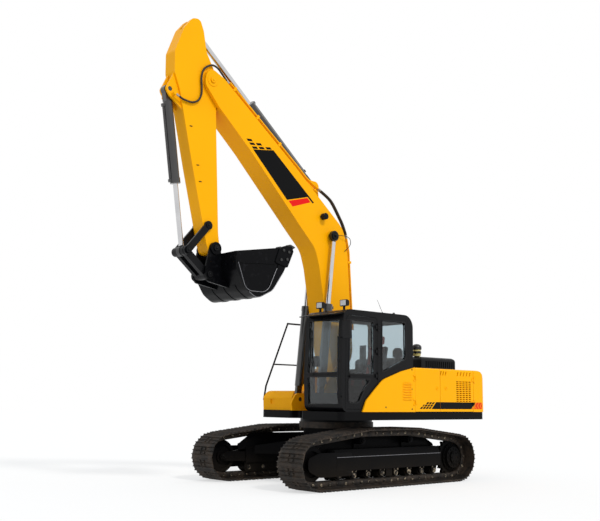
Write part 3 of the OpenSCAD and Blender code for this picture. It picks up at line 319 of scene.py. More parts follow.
for hand, side in hands:
    runs = [("bend_hose_%s_%d" % (hand, number), [on_boom(s, side * y, t) for s, t in bend_route], "boom")
            for number, y in enumerate(pipe_y)]
    runs.append(("arm_hose_" + hand, [on_boom(s, side * y, t) for s, y, t in arm_route], "arm"))
    for name, route, far_body in runs:
        line = smooth_line(route)
        hose = tube(name, line, hose_radius, hose_finish)
        ends = []
        for tag, body, point, ahead in (("start", "boom", line[0], line[1] - line[0]),
                                        ("end", far_body, line[-1], line[-2] - line[-1])):
            ends.append(turned("%s_%s" % (name, tag), ferrule_form, zinc_finish, facing(point, ahead)))
            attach(ends[-1], body)
        if far_body == "boom":
            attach(hose, "boom")
        else:
            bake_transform(hose)
        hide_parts("hoses")
        sum((b - a).length for a, b in zip(line, line[1:]))
        "taut" if far_body == "boom" else "hanging"

# Tracks: rolled steel shoes with three grousers, held to forged links by four bolts each. The steel is dark,
# browned in random patches by dry soil.
track_finish = Finish("track steel", Metallic=0.25, Specular_IOR_Level=0.3)
track_soil = track_finish.noise(7, 6)
track_grit = track_finish.noise(70, 4)
track_finish.feed(
    Base_Color=track_finish.mix(track_finish.ramp(track_soil * 0.7 + track_grit * 0.4, 0.40, 0.75),
                                (0.010, 0.009, 0.008, 1), (0.052, 0.036, 0.025, 1)),
    Roughness=0.42 + track_grit * 0.35,
    Normal=track_finish.bump(track_grit + track_soil, 0.35, 0.004))
track_finish.on("track_left", "track_right", "chains", "slew_ring")

swing_x = -0.63919
track_y = 1.190
wheel_x = 1.760
wheel_z = 0.425
pitch_radius = 0.330
carrier_at = Vector((0.600, 0.890))
shoe_count = 50
shoe_face = 0.069
bolt_along = (0.287, 0.681)
bolt_across = 0.058
link_face = 0.078
tangent = Vector((carrier_at.x - wheel_x, carrier_at.y - wheel_z))
tangent_turn = math.atan2(tangent.y, tangent.x) - math.acos(pitch_radius / tangent.length)
slope_length = math.sqrt(tangent.length ** 2 - pitch_radius ** 2)
end_length = pitch_radius * (tangent_turn + math.pi / 2)
loop_length = 2 * (wheel_x + end_length + slope_length + carrier_at.x)


def half_loop(d):
    if d < wheel_x:
        return Vector((d, wheel_z - pitch_radius))
    d -= wheel_x
    if d < end_length:
        turn = d / pitch_radius - math.pi / 2
        return Vector((wheel_x + pitch_radius * math.cos(turn), wheel_z + pitch_radius * math.sin(turn)))
    d -= end_length
    if d < slope_length:
        out = Vector((math.cos(tangent_turn), math.sin(tangent_turn)))
        start = Vector((wheel_x + pitch_radius * out.x, wheel_z + pitch_radius * out.y))
        return start.lerp(carrier_at, d / slope_length)
    return Vector((carrier_at.x - d + slope_length, carrier_at.y))


link_pins = []
for i in range(shoe_count):
    d = (i + 0.5) * loop_length / shoe_count
    p = half_loop(min(d, loop_length - d))
    link_pins.append(Vector((p.x if d < loop_length / 2 else -p.x, p.y)))


def strew(name, master, places, body):
    """One piece made of copies of a master, each with its own mesh, at the given places."""
    copies = []
    for place in places:
        copy = bpy.data.objects.new(name, master.data.copy())
        copy.data.transform(place)
        scene.collection.objects.link(copy)
        copies.append(copy)
    bpy.ops.object.select_all(action="DESELECT")
    for copy in copies:
        copy.select_set(True)
    bpy.context.view_layer.objects.active = copies[0]
    bpy.ops.object.join()
    outward(copies[0])
    copies[0].name = name
    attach(copies[0], body)


# Cap steel for the track pins, roller caps and roller bolts: dark, with warm bright patches that are partly rubbed
# wear and partly painted glints.
cap_glint_finish = Finish("cap steel with wear and painted glints", Metallic=0.55, Specular_IOR_Level=0.4)
cap_wear_and_glints = cap_glint_finish.ramp(cap_glint_finish.noise(26, 5), 0.44, 0.66)
cap_glint_finish.feed(
    Base_Color=cap_glint_finish.mix(cap_wear_and_glints, (0.012, 0.010, 0.009, 1), (0.34, 0.28, 0.20, 1)),
    Roughness=0.34 + cap_glint_finish.noise(80, 3) * 0.3)
shoe_bolt = turned("shoe_bolt", ((-0.002, 0.019), (0.013, 0.019), (0.016, 0.015)), track_finish,
                   sides=6, degrees=20)
link_plate = turned("link_plate", ((-0.002, 0.046), (0.006, 0.046), (0.009, 0.041)), track_finish,
                    Matrix.Diagonal((1.95, 0.90, 1, 1)), sides=14)
link_end = turned("link_end", ((-0.002, 0.026), (0.015, 0.026), (0.019, 0.021), (0.019, 0.011), (0.014, 0.009)),
                  cap_glint_finish, sides=10)
for hand, side in hands:
    bolts, plates, ends = [], [], []
    for i, pin in enumerate(link_pins):
        step = link_pins[(i + 1) % shoe_count] - pin
        ahead = step.normalized()
        out = Vector((ahead.y, -ahead.x))
        for q in bolt_along:
            p = pin + step * q + out * shoe_face
            for y in (-bolt_across, bolt_across):
                bolts.append(facing((p.x + swing_x, side * track_y + y, p.y), (out.x, 0, out.y)))
        middle = pin + step / 2
        for face in (1, -1):
            y = side * track_y + face * link_face
            stand = Matrix.Rotation(math.radians(-90 * face), 4, "X")
            roll = Matrix.Rotation(-face * math.atan2(ahead.y, ahead.x), 4, "Z")
            plates.append(Matrix.Translation((middle.x + swing_x, y, middle.y)) @ stand @ roll)
            ends.append(facing((pin.x + swing_x, y, pin.y), (0, face, 0)))
    strew("shoe_bolts_" + hand, shoe_bolt, bolts, "undercarriage")
    strew("link_plates_" + hand, link_plate, plates, "undercarriage")
    strew("link_pins_" + hand, link_end, ends, "undercarriage")
for master in (shoe_bolt, link_plate, link_end):
    bpy.data.objects.remove(master)

# Undercarriage: welded frames, carbody, wheels and rollers in semi-gloss black paint. Forged caps with bolts
# close the axles. Flat guards cover the idlers, and stand along the inner side of the rollers and of
# the frame's top. The plates inside the rollers are partly real guards and partly dark sheets of painted
# shade, which hide the floor between the rollers.
frame_finish = Finish("black chassis paint", Specular_IOR_Level=0.035)
frame_cloud = frame_finish.noise(2.2, 5)
frame_low = 1 - frame_finish.ramp(frame_finish.axis("Z"), 0.05, 0.65)
frame_finish.feed(
    Base_Color=frame_finish.mix(frame_low * frame_cloud * 0.7,
                                (0.0028, 0.0028, 0.0032, 1), (0.026, 0.020, 0.014, 1)),
    Roughness=0.30 + frame_cloud * 0.22 + frame_low * 0.15,
    Normal=frame_finish.bump(frame_finish.noise(55, 3), 0.06, 0.002))
frame_finish.on("carbody", "track_frames", "sprockets", "rollers")

axle_cap = turned("axle_cap", ((-0.004, 0.050), (0.012, 0.050), (0.018, 0.043), (0.018, 0.022), (0.028, 0.022),
                               (0.031, 0.018)), cap_glint_finish, sides=18)
frame_bolt = turned("frame_bolt", ((-0.002, 0.016), (0.010, 0.016), (0.013, 0.013)), cap_glint_finish,
                    sides=6, degrees=20)
roller_z = 0.2175
roller_count = 8
roller_pitch = 0.340
roller_face = 0.120
bolt_half = 0.046
bolt_rise = 0.062
# Rings of bolts on the sprocket's hub: how many, at which radius, and on which step of the hub.
hub_rings = ((12, 0.152, 0.120), (20, 0.213, 0.060), (6, 0.080, 0.150))
carrier_z = 0.774
carrier_face = 0.100
idler_face = 0.136
caps, dark_caps, bolts, hub_bolts = [], [], [], []
for hand, side in hands:
    for face in (1, -1):
        y = side * track_y + face * roller_face
        for k in range(roller_count):
            x = (k - (roller_count - 1) / 2) * roller_pitch + swing_x
            caps.append(facing((x, y, roller_z), (0, face, 0), 0.9))
            bolts += [facing((x + dx, y, roller_z + bolt_rise), (0, face, 0)) for dx in (-bolt_half, bolt_half)]
    hub = Vector((swing_x - wheel_x, side * track_y, wheel_z))
    for count, radius, y in hub_rings:
        for k in range(count):
            turn = 2 * math.pi * k / count
            spot = hub + Vector((radius * math.cos(turn), side * y, radius * math.sin(turn)))
            hub_bolts.append(facing(spot, (0, side, 0)))
    dark_caps += [facing((x + swing_x, side * (track_y + carrier_face), carrier_z), (0, side, 0), 0.75)
                  for x in (-carrier_at.x, carrier_at.x)]
    dark_caps.append(facing((wheel_x + swing_x, side * (track_y - idler_face), wheel_z), (0, -side, 0), 1.15))
strew("axle_caps", axle_cap, caps, "undercarriage")
strew("roller_bolts", frame_bolt, bolts, "undercarriage")
shade(axle_cap, frame_finish)
shade(frame_bolt, frame_finish, 20)
strew("wheel_caps", axle_cap, dark_caps, "undercarriage")
strew("hub_bolts", frame_bolt, hub_bolts, "undercarriage")
for master in (axle_cap, frame_bolt):
    bpy.data.objects.remove(master)


def rounded_plate(corners, radius):
    """A flat plate on its corners, which are rounded. It is left in edit mode with its face selected."""
    bpy.ops.object.select_all(action="DESELECT")
    bpy.ops.mesh.primitive_circle_add(vertices=len(corners), radius=1, fill_type="NGON")
    piece = bpy.context.object
    for vert, corner in zip(piece.data.vertices, corners):
        vert.co = corner
    bpy.ops.object.mode_set(mode="EDIT")
    bpy.ops.mesh.select_mode(type="VERT")
    bpy.ops.mesh.select_all(action="SELECT")
    bpy.ops.mesh.bevel(offset=radius, segments=5, affect="VERTICES")
    bpy.ops.mesh.select_mode(type="FACE")
    bpy.ops.mesh.select_all(action="SELECT")
    return piece


def applied(piece, kind, **settings):
    bpy.ops.object.modifier_add(type=kind)
    modifier = piece.modifiers[0]
    for key, value in settings.items():
        setattr(modifier, key, value)
    bpy.ops.object.modifier_apply(modifier=modifier.name)


# Behind the rollers: a plate that is partly a guard and partly a dark sheet of painted shade, hiding the floor
# between the rollers.
roller_shade_guard = ((-1.290, 0.140), (1.290, 0.140), (1.290, 0.330), (-1.290, 0.330))
idler_guard = ((0.930, 0.215), (1.660, 0.215), (1.900, 0.330), (1.900, 0.520), (1.660, 0.600), (0.930, 0.600))
guard_corner = 0.050
guard_edge = 0.004
frame_ridge = ((-1.450, 0.500), (1.450, 0.500), (1.450, 0.640), (1.150, 0.832), (-1.150, 0.832), (-1.480, 0.660))
for hand, side in hands:
    for name, corners, low, high in (("roller_guard_", roller_shade_guard, -0.136, -0.124),
                                     ("idler_guard_", idler_guard, 0.137, 0.158),
                                     ("frame_ridge_", frame_ridge, -0.136, -0.124)):
        guard = rounded_plate([Vector((x + swing_x, side * (track_y + low), z)) for x, z in corners], guard_corner)
        bpy.ops.mesh.extrude_region_move(TRANSFORM_OT_translate={"value": (0, side * (high - low), 0)})
        bpy.ops.object.mode_set(mode="OBJECT")
        applied(guard, "BEVEL", width=guard_edge, segments=2, limit_method="ANGLE")
        guard.name = name + hand
        outward(guard)
        shade(guard, frame_finish)
        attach(guard, "undercarriage")

# Frame beads: one run of weld along each track frame, where its side plate meets the sloped top plate.
# Its pale, patchy steel colour is partly the weld's own and partly a painted highlight along that edge.
bead_highlight_finish = Finish("weld bead with painted highlight", Metallic=0.75, Specular_IOR_Level=0.4)
bead_highlight_finish.feed(
    Base_Color=bead_highlight_finish.mix(bead_highlight_finish.noise(45, 4), (0.08, 0.08, 0.09, 1), (0.33, 0.33, 0.35, 1)),
    Roughness=0.34 + bead_highlight_finish.noise(120, 3) * 0.2,
    Normal=bead_highlight_finish.bump(bead_highlight_finish.noise(260, 2), 0.4, 0.002))
seam_y = 0.160
seam_z = 0.520
for hand, side in hands:
    seam = [Vector((x + swing_x, side * (track_y + seam_y), seam_z)) for x in (-1.325, -0.660, 0.0, 0.640, 1.275)]
    bead = tube("frame_bead_" + hand, seam, 0.005, bead_highlight_finish, sides=8)
    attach(bead, "undercarriage")

# Upper structure: a welded steel deck and skirt under a satin black coat. The boom's foot brackets, welded
# on top of it, are machine yellow.
yellow = (0.90, 0.385, 0.0010, 1)
pale_yellow = (0.99, 0.450, 0.0014, 1)
black = (0.0028, 0.0029, 0.0033, 1)
deck_top = 1.2503


def yellow_coat(finish):
    """Amber machine paint: two close tones in wide clouds, and the fine skin of a sprayed coat."""
    cloud = finish.noise(0.9, 3)
    finish.feed(Roughness=0.26 + finish.noise(6, 4) * 0.16,
                Normal=finish.bump(finish.noise(210, 2), 0.025, 0.001))
    return finish.mix(cloud, yellow, pale_yellow)


deck_finish = Finish("deck paint", Specular_IOR_Level=0.06)
deck_finish.feed(Base_Color=deck_finish.mix(deck_finish.axis("Z") > deck_top, black, yellow_coat(deck_finish)))
deck_finish.on("deck")

black_finish = Finish("black coat", Specular_IOR_Level=0.12)
black_cloud = black_finish.noise(3.1, 4)
black_finish.feed(
    Base_Color=black_finish.mix(black_cloud, (0.0028, 0.0029, 0.0034, 1), (0.0060, 0.0062, 0.0072, 1)),
    Roughness=0.20 + black_cloud * 0.18,
    Normal=black_finish.bump(black_finish.noise(180, 2), 0.03, 0.001))
black_finish.on("engine_house", "hood", "cab_shell", "cab_door", "handrails", "stacks", "guide_links", "h_link")

# House panels: pressed steel doors, cover and cast counterweight in machine yellow. A printed band of slanted
# chequers, black and red runs along their lower edge, and each door has a round latch.
panel_y = 1.360
band_low = 1.301
band_height = 0.127
band_slant = 0.135
dash_pitch = 0.078
panel_finish = Finish("house paint", Specular_IOR_Level=0.07)
panel_x = panel_finish.axis("X") - swing_x
panel_face = abs(panel_finish.axis("Y")) > panel_y - 0.002
band_rise = (panel_finish.axis("Z") - band_low) / band_height
band_lean = panel_x + band_rise * band_slant
band = band_rise.between(0, 1) * panel_face
# Where the band's black, red and chequered stretches begin and end along the house.
band_black = band * (band_lean < -1.085) * (band_lean > -2.250)
band_red = band * (band_lean < -2.262) * (panel_x > -2.64) * (abs(panel_x + 2.332) > 0.012)
band_glow = band_red * ((panel_x + abs(band_rise - 0.5) * 0.10) / 0.085).part().between(0.0, 0.42)
dash_rows = band_rise * 3
dash_run = (band_lean + 1.065) / dash_pitch
band_dash = (band * dash_rows.part().between(0.08, 0.92) * dash_run.part().between(0.12, 0.88)
             * dash_run.between(0, 3.9) * (dash_run < 4.2 - dash_rows.floor() * 0.6))
panel_colour = panel_finish.mix(band_black + band_dash, yellow_coat(panel_finish), black)
panel_colour = panel_finish.mix(band_red, panel_colour, (0.72, 0.045, 0.006, 1))
panel_finish.feed(Base_Color=panel_finish.mix(band_glow, panel_colour, (0.90, 0.17, 0.01, 1)))
panel_finish.on("counterweight", "side_cover", "door_front_left", "door_rear_left", "door_right", "tanks",
                "toolbox", "toolbox_lid")

trim_finish = Finish("moulded trim", Specular_IOR_Level=0.22)
trim_finish.feed(
    Base_Color=trim_finish.mix(trim_finish.noise(5, 3), (0.0045, 0.0045, 0.005, 1), (0.010, 0.010, 0.011, 1)),
    Roughness=0.50 + trim_finish.noise(90, 2) * 0.18,
    Normal=trim_finish.bump(trim_finish.noise(320, 2), 0.12, 0.001))
latch_form = ((-0.003, 0.040), (0.004, 0.040), (0.007, 0.037), (0.007, 0.026), (0.003, 0.024), (0.003, 0.012),
              (0.011, 0.011), (0.012, 0.008))
latch_z = 1.682
for name, body, x, side in (("latch_rear_left", "rear_left_door", -1.509, 1),
                            ("latch_front_left", "front_left_door", -1.255, 1),
                            ("latch_right", "right_door", -2.200, -1)):
    latch = turned(name, latch_form, panel_finish,
                   facing((x + swing_x, side * panel_y, latch_z), (0, side, 0)), sides=28)
    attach(latch, body)
cover_screw = turned("cover_screw", ((-0.002, 0.014), (0.003, 0.014), (0.006, 0.010)), trim_finish, sides=12)
screws = [facing((x + swing_x, panel_y, z), (0, 1, 0)) for x, z in
          ((-0.560, 1.995), (-0.560, 1.300), (0.120, 1.330), (-0.560, 1.650))]
strew("cover_screws", cover_screw, screws, "upper")
bpy.data.objects.remove(cover_screw)
cover_slat = turned("cover_slat", ((-0.002, 0.050), (0.004, 0.050), (0.009, 0.042)), panel_finish,
                    Matrix.Diagonal((2.8, 0.22, 1, 1)), sides=16)
slat_x = -0.441
slat_low = 1.470
slat_pitch = 0.045
slats = [facing((slat_x + swing_x, panel_y, slat_low + slat_pitch * k), (0, 1, 0)) for k in range(7)]
strew("cover_slats", cover_slat, slats, "upper")
bpy.data.objects.remove(cover_slat)

# Pre-cleaner: a moulded cap over a clear amber bowl that catches the intake's dust, on a short stem.
# It is bolted to the hood and swings up with it.
bowl_at = Vector((-1.390, 0.760, 0))
bowl_finish = Finish("pre-cleaner bowl", Specular_IOR_Level=0.4)
bowl_z = bowl_finish.axis("Z")
bowl_clear = bowl_z.between(2.287, 2.335) + bowl_z.between(2.381, 2.407)
bowl_finish.feed(
    Base_Color=bowl_finish.mix(bowl_clear, (0.006, 0.006, 0.007, 1), (0.62, 0.52, 0.20, 1)),
    Roughness=0.22 + bowl_finish.noise(40, 2) * 0.2)
pre_cleaner = turned("pre_cleaner", (
    (2.262, 0.080), (2.270, 0.080), (2.272, 0.048), (2.276, 0.048), (2.284, 0.070), (2.335, 0.078), (2.343, 0.085),
    (2.373, 0.085), (2.379, 0.078), (2.409, 0.078), (2.415, 0.092), (2.461, 0.092), (2.485, 0.082), (2.509, 0.050),
    (2.517, 0.020)), bowl_finish, Matrix.Translation((bowl_at.x + swing_x, bowl_at.y, 0)), sides=28)
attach(pre_cleaner, "hood")

# Engine: a cast block under the hood, in bare grey iron with the grain of its sand mould.
# It stands on the deck between the house's walls.
engine_finish = Finish("engine casting", Metallic=0.3, Specular_IOR_Level=0.3)
engine_finish.feed(
    Base_Color=engine_finish.mix(engine_finish.noise(4, 5), (0.025, 0.025, 0.027, 1), (0.060, 0.060, 0.063, 1)),
    Roughness=0.6 + engine_finish.noise(40, 3) * 0.2,
    Normal=engine_finish.bump(engine_finish.noise(80, 4), 0.3, 0.003))
engine_finish.on("engine")

# Cab glass: tinted toughened panes, each in a rubber channel pressed round its opening. The door's lower pane
# is tinted darkest.
glass_finish = Finish("tinted glass", Roughness=0.02, IOR=1.42, Transmission_Weight=1.0)
glass_finish.feed(
    Base_Color=glass_finish.mix(glass_finish.noise(1.5, 2), (0.60, 0.68, 0.71, 1), (0.68, 0.75, 0.78, 1)))
glass_finish.on("cab_glass")
door_rail_z = 1.840
door_glass_finish = Finish("door glass", Roughness=0.02, IOR=1.42, Transmission_Weight=1.0)
door_glass_finish.feed(
    Base_Color=door_glass_finish.mix(door_glass_finish.axis("Z") > door_rail_z,
                                     (0.16, 0.17, 0.18, 1), (0.60, 0.68, 0.71, 1)))
door_glass_finish.on("door_glass")
trim_finish.on("console", "side_mirror", "work_lamps", "boom_lamp")
cab_left = 1.330
cab_right = 0.400
pane_corner = 0.055
channel_width = 0.020
channel_depth = 0.007
lap = 0.012  # how far a channel covers the edge of its opening


def channel(name, corners, out, radius, body):
    """A rubber channel round an opening: a plate on its corners, rounded, inset, opened and drawn out."""
    piece = rounded_plate(corners, radius)
    bpy.ops.mesh.inset(thickness=channel_width, depth=0)
    bpy.ops.mesh.delete(type="FACE")
    bpy.ops.mesh.select_all(action="SELECT")
    bpy.ops.mesh.extrude_region_move(TRANSFORM_OT_translate={"value": Vector(out) * channel_depth})
    bpy.ops.object.mode_set(mode="OBJECT")
    applied(piece, "BEVEL", width=0.0025, segments=2, limit_method="ANGLE")
    piece.name = name
    outward(piece)
    shade(piece, trim_finish, 50)
    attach(piece, body)


def cab_front(z):
    return 1.140 + (z - 1.250) * 0.05 if z < 1.850 else 1.170 - (z - 1.850) * 0.0493


door_panes = (
    ("seal_door", ((0.990 + lap, 1.880 - lap), (0.965 + lap, 2.790 + lap), (0.390 - lap, 2.790 + lap),
                   (0.390 - lap, 1.880 - lap))),
    ("seal_door_low", ((1.000 + lap, 1.400 - lap), (1.000 + lap, 1.800 + lap), (0.470 - 2 * lap, 1.800 + lap),
                       (0.640 - lap, 1.600 - lap), (0.760 - lap, 1.400 - lap))))
quarter_pane = ((0.180 + lap, 1.930 - 2 * lap), (0.180 + lap, 2.830 + lap), (-0.430 - lap, 2.830 + lap),
                (-0.430 - lap, 2.180 - lap))
right_pane = ((1.010 + lap, 1.560 - lap), (0.980 + lap, 2.840 + lap), (-0.430 - lap, 2.840 + lap),
              (-0.430 - lap, 1.880 - lap), (0.300 - lap, 1.560 - lap))
for name, corners in door_panes:
    channel(name, [Vector((x + swing_x, cab_left, z)) for x, z in corners], (0, 1, 0), pane_corner, "cab_door")
channel("seal_quarter", [Vector((x + swing_x, cab_left, z)) for x, z in quarter_pane],
        (0, 1, 0), pane_corner, "upper")
channel("seal_right", [Vector((x + swing_x, cab_right, z)) for x, z in right_pane],
        (0, -1, 0), pane_corner, "upper")
for name, low, high in (("seal_front", 1.900, 2.790), ("seal_front_low", 1.370, 1.830)):
    corners = ((0.490 - lap, low - lap), (1.240 + lap, low - lap), (1.240 + lap, high + lap),
               (0.490 - lap, high + lap))
    channel(name, [Vector((cab_front(z) + swing_x - 0.001, y, z)) for y, z in corners],
            (1, 0, -0.04), 0.030, "upper")

# Wiper: a sprung steel arm on a spindle under the upper pane, with a rubber blade parked upright
# at the pane's edge.
wiper_points = ((-0.010, 0.640, 1.872), (0.020, 0.640, 1.872), (0.024, 0.630, 1.900), (0.012, 0.575, 2.100),
                (0.004, 0.545, 2.330))
blade_points = ((0.572, 2.020), (0.553, 2.230), (0.545, 2.330), (0.538, 2.450), (0.522, 2.640))
wiper_line = smooth_line([Vector((cab_front(z) + swing_x + x, y, z)) for x, y, z in wiper_points], 6)
wiper_arm = tube("wiper_arm", wiper_line, 0.007, trim_finish, sides=10)
wiper_blade = tube("wiper_blade", [Vector((cab_front(z) + swing_x - 0.004, y, z)) for y, z in blade_points],
                   0.009, trim_finish, sides=6)
for piece in (wiper_arm, wiper_blade):
    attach(piece, "upper")

# Mirror, lamps and aerial: a silvered plate in the mirror's housing, fluted lenses in the lamps,
# and a sprung whip on the roof.
mirror_finish = Finish("silvered glass", Metallic=1.0, Roughness=0.03)
mirror_finish.feed(
    Base_Color=mirror_finish.mix(mirror_finish.noise(3, 2), (0.70, 0.73, 0.76, 1), (0.78, 0.81, 0.84, 1)))
lens_finish = Finish("fluted lens", Specular_IOR_Level=0.6)
lens_flute = (lens_finish.axis("Y") * (2 * math.pi / 0.012)).sine()
lens_finish.feed(
    Base_Color=lens_finish.mix(lens_finish.noise(20, 2), (0.62, 0.64, 0.66, 1), (0.82, 0.83, 0.84, 1)),
    Roughness=0.12 + lens_finish.noise(50, 2) * 0.1,
    Normal=lens_finish.bump(lens_flute, 0.5, 0.002))


def plate(name, low, high, ahead, finish):
    """A flat plate between two corners, bevelled all round, with its face towards +X or -X inset and sunk."""
    low, high = Vector(low), Vector(high)
    bpy.ops.object.select_all(action="DESELECT")
    bpy.ops.mesh.primitive_cube_add(size=1, location=(low + high) / 2, scale=high - low)
    piece = bpy.context.object
    bpy.ops.object.transform_apply(location=True, rotation=True, scale=True)
    bpy.ops.object.mode_set(mode="EDIT")
    bpy.ops.mesh.select_mode(type="EDGE")
    bpy.ops.mesh.select_all(action="SELECT")
    bpy.ops.mesh.bevel(offset=0.002, segments=2)
    bpy.ops.mesh.select_mode(type="FACE")
    bpy.ops.mesh.select_all(action="DESELECT")
    bpy.ops.object.mode_set(mode="OBJECT")
    for face in piece.data.polygons:
        face.select = face.normal.x * ahead > 0.99
    bpy.ops.object.mode_set(mode="EDIT")
    bpy.ops.mesh.inset(thickness=0.008, depth=0)
    bpy.ops.mesh.extrude_region_move(TRANSFORM_OT_translate={"value": (-ahead * 0.002, 0, 0)})
    bpy.ops.object.mode_set(mode="OBJECT")
    piece.name = name
    shade(piece, finish)
    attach(piece, "upper")


for hand, y in (("right", 0.530), ("left", 1.130)):
    plate("roof_lens_" + hand, (0.930 + swing_x, y - 0.065, 3.045), (0.940 + swing_x, y + 0.065, 3.135), 1,
          lens_finish)
plate("mirror_plate", (1.150 + swing_x, 1.404, 2.466), (1.168 + swing_x, 1.556, 2.742), -1, mirror_finish)
plate("monitor_screen", (1.006 + swing_x, 0.480, 2.030), (1.012 + swing_x, 0.635, 2.160), -1, black_finish)
boom_lens = turned("boom_lens", ((-0.004, 0.054), (0.002, 0.054), (0.005, 0.050), (0.005, 0.047), (0.002, 0.046),
                                 (0.008, 0.030), (0.010, 0.010)),
                   black_finish, facing(on_boom(2.660, 0.325, 1.120), (0, 1, 0)), sides=28)
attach(boom_lens, "boom")
aerial = turned("aerial", ((0.0, 0.022), (0.016, 0.022), (0.022, 0.012), (0.050, 0.008), (0.060, 0.004),
                           (0.300, 0.0025)),
                trim_finish, facing((-0.100 + swing_x, 1.100, 2.962), (0.53, 0.0, 0.85)), sides=12)
roof_knob = turned("roof_knob", ((-0.02, 0.030), (0.020, 0.030), (0.028, 0.022), (0.045, 0.020), (0.052, 0.010)),
                   trim_finish, facing((-0.320 + swing_x, 1.150, 2.960), (0, 0, 1)), sides=16)
for piece in (aerial, roof_knob):
    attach(piece, "upper")

# Operator's seat: foam cushions in dark cloth with red side panels, bolted to a sprung base
# inside a rubber bellows.
seat_y = 0.865
seat_finish = Finish("seat cloth", Specular_IOR_Level=0.2, Sheen_Weight=0.3)
seat_across = abs(seat_finish.axis("Y") - seat_y)
seat_weave = seat_finish.noise(420, 2)
seat_rib = ((seat_finish.axis("Z") + seat_finish.axis("X")) * 60).sine() * (seat_across < 0.09)
seat_finish.feed(
    Base_Color=seat_finish.mix(
        seat_across.between(0.095, 0.175),
        seat_finish.mix(seat_weave, (0.010, 0.010, 0.012, 1), (0.030, 0.030, 0.033, 1)),
        seat_finish.mix(seat_weave, (0.22, 0.010, 0.008, 1), (0.38, 0.030, 0.022, 1))),
    Roughness=0.82 + seat_weave * 0.12,
    Normal=seat_finish.bump(seat_weave * 0.4 + seat_rib, 0.35, 0.004))


def cushion(name, centre, size, lean, swell):
    """A foam pad: a bevelled block remeshed, blown up as cloth under pressure, capped in its swell and smoothed."""
    bpy.ops.object.select_all(action="DESELECT")
    bpy.ops.mesh.primitive_cube_add(size=1, scale=[v - swell for v in size])
    piece = bpy.context.object
    bpy.ops.object.transform_apply(location=True, rotation=True, scale=True)
    bpy.ops.object.mode_set(mode="EDIT")
    bpy.ops.mesh.select_mode(type="EDGE")
    bpy.ops.mesh.select_all(action="SELECT")
    bpy.ops.mesh.bevel(offset=0.026, segments=4)
    bpy.ops.object.mode_set(mode="OBJECT")
    applied(piece, "REMESH", mode="VOXEL", voxel_size=0.011)
    start = [vert.co.copy() for vert in piece.data.vertices]
    bpy.ops.object.modifier_add(type="CLOTH")
    cloth = piece.modifiers[0]
    cloth.settings.use_pressure = True
    cloth.settings.uniform_pressure_force = 4.0
    cloth.settings.effector_weights.gravity = 0.0
    for step in range(1, 21):
        scene.frame_set(step)
    bpy.ops.object.modifier_apply(modifier=cloth.name)
    scene.frame_set(1)
    for vert, was in zip(piece.data.vertices, start):
        move = vert.co - was
        if move.length > swell / 2:
            vert.co = was + move * (swell / 2 / move.length)
    applied(piece, "SMOOTH", factor=0.5, iterations=4)
    applied(piece, "SUBSURF", levels=1, render_levels=1)
    piece.matrix_world = Matrix.Translation(centre) @ Matrix.Rotation(math.radians(lean), 4, "Y")
    bpy.ops.object.transform_apply(location=True, rotation=True, scale=True)
    piece.name = name
    shade(piece, seat_finish, 60)
    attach(piece, "upper")
    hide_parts("seat")


cushion("seat_cushion", (0.093 + swing_x, seat_y, 1.744), (0.485, 0.495, 0.110), 0, 0.020)
cushion("seat_back", (-0.160 + swing_x, seat_y, 2.114), (0.112, 0.465, 0.620), -10.8, 0.020)
cushion("head_rest", (-0.238 + swing_x, seat_y, 2.515), (0.085, 0.255, 0.165), -7.0, 0.016)
bellows = [(1.3104, 0.98)]
for k in range(6):
    bellows += [(1.330 + 0.056 * k, 1.0), (1.356 + 0.056 * k, 0.90)]
bellows += [(1.655, 1.0), (1.688, 1.0)]
seat_base = turned("seat_base", bellows, trim_finish, Matrix.Translation((0.085 + swing_x, seat_y, 0))
                   @ Matrix.Diagonal((0.2330, 0.2540, 1, 1)) @ Matrix.Rotation(math.pi / 4, 4, "Z"), sides=4)
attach(seat_base, "upper")
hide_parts("seat")

# Boom: a welded box in machine yellow, with a printed slanted band on both side plates. A thin grease pipe
# loops over its crest to the rams' pin.
boom_finish = Finish("boom paint", Specular_IOR_Level=0.07)
boom_x = boom_finish.axis("X") - boom_foot.x
boom_z = boom_finish.axis("Z") - boom_foot.z
boom_s = boom_x * math.cos(boom_turn) + boom_z * math.sin(boom_turn)
boom_t = boom_z * math.cos(boom_turn) - boom_x * math.sin(boom_turn)
# The band's edges run straight along the boom: stripe_v is 0 on the lower and 1 on the upper one.
stripe_low = 0.214 - (boom_s - 4.362) * 0.249
stripe_high = 0.653 - (boom_s - 4.163) * 0.348
stripe_v = (boom_t - stripe_low) / (stripe_high - stripe_low)
stripe_side = abs(boom_finish.axis("Y")).between(0.2140, 0.2162)
stripe = stripe_v.between(0, 1) * stripe_side
stripe_black = stripe * (boom_s > 3.269 - stripe_v * 0.16) * (boom_s < 4.345 - stripe_v * 0.18)
stripe_tail = stripe_side * stripe_v.between(0.92, 1.0) * boom_s.between(2.97, 3.20)
stripe_red = (stripe_side * stripe_v.between(0.04, 0.88) * (boom_s > 3.118 - stripe_v * 0.125)
              * (boom_s < 3.248 - stripe_v * 0.155))
mark_rows = stripe_v * 3
mark_run = (boom_s - 4.345 + stripe_v * 0.18) / 0.080
stripe_marks = (stripe * mark_rows.part().between(0.10, 0.84) * mark_run.part().between(0.16, 0.80)
                * (mark_run > 0) * (mark_run < 3 - mark_rows.floor()))
boom_colour = boom_finish.mix(stripe_black + stripe_tail + stripe_marks, yellow_coat(boom_finish), black)
boom_finish.feed(Base_Color=boom_finish.mix(stripe_red, boom_colour, (0.76, 0.012, 0.010, 1)))
boom_finish.on("boom")

grease_points = ((2.200, 0.224, 1.290), (2.155, 0.275, 1.371), (2.095, 0.290, 1.450), (2.020, 0.290, 1.490),
                 (1.950, 0.290, 1.460), (1.907, 0.275, 1.401), (1.870, 0.224, 1.300))
grease_pipe = tube("boom_grease_pipe", smooth_line([on_boom(s, y, t) for s, y, t in grease_points], 6), 0.006,
                   trim_finish, sides=8)
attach(grease_pipe, "boom")

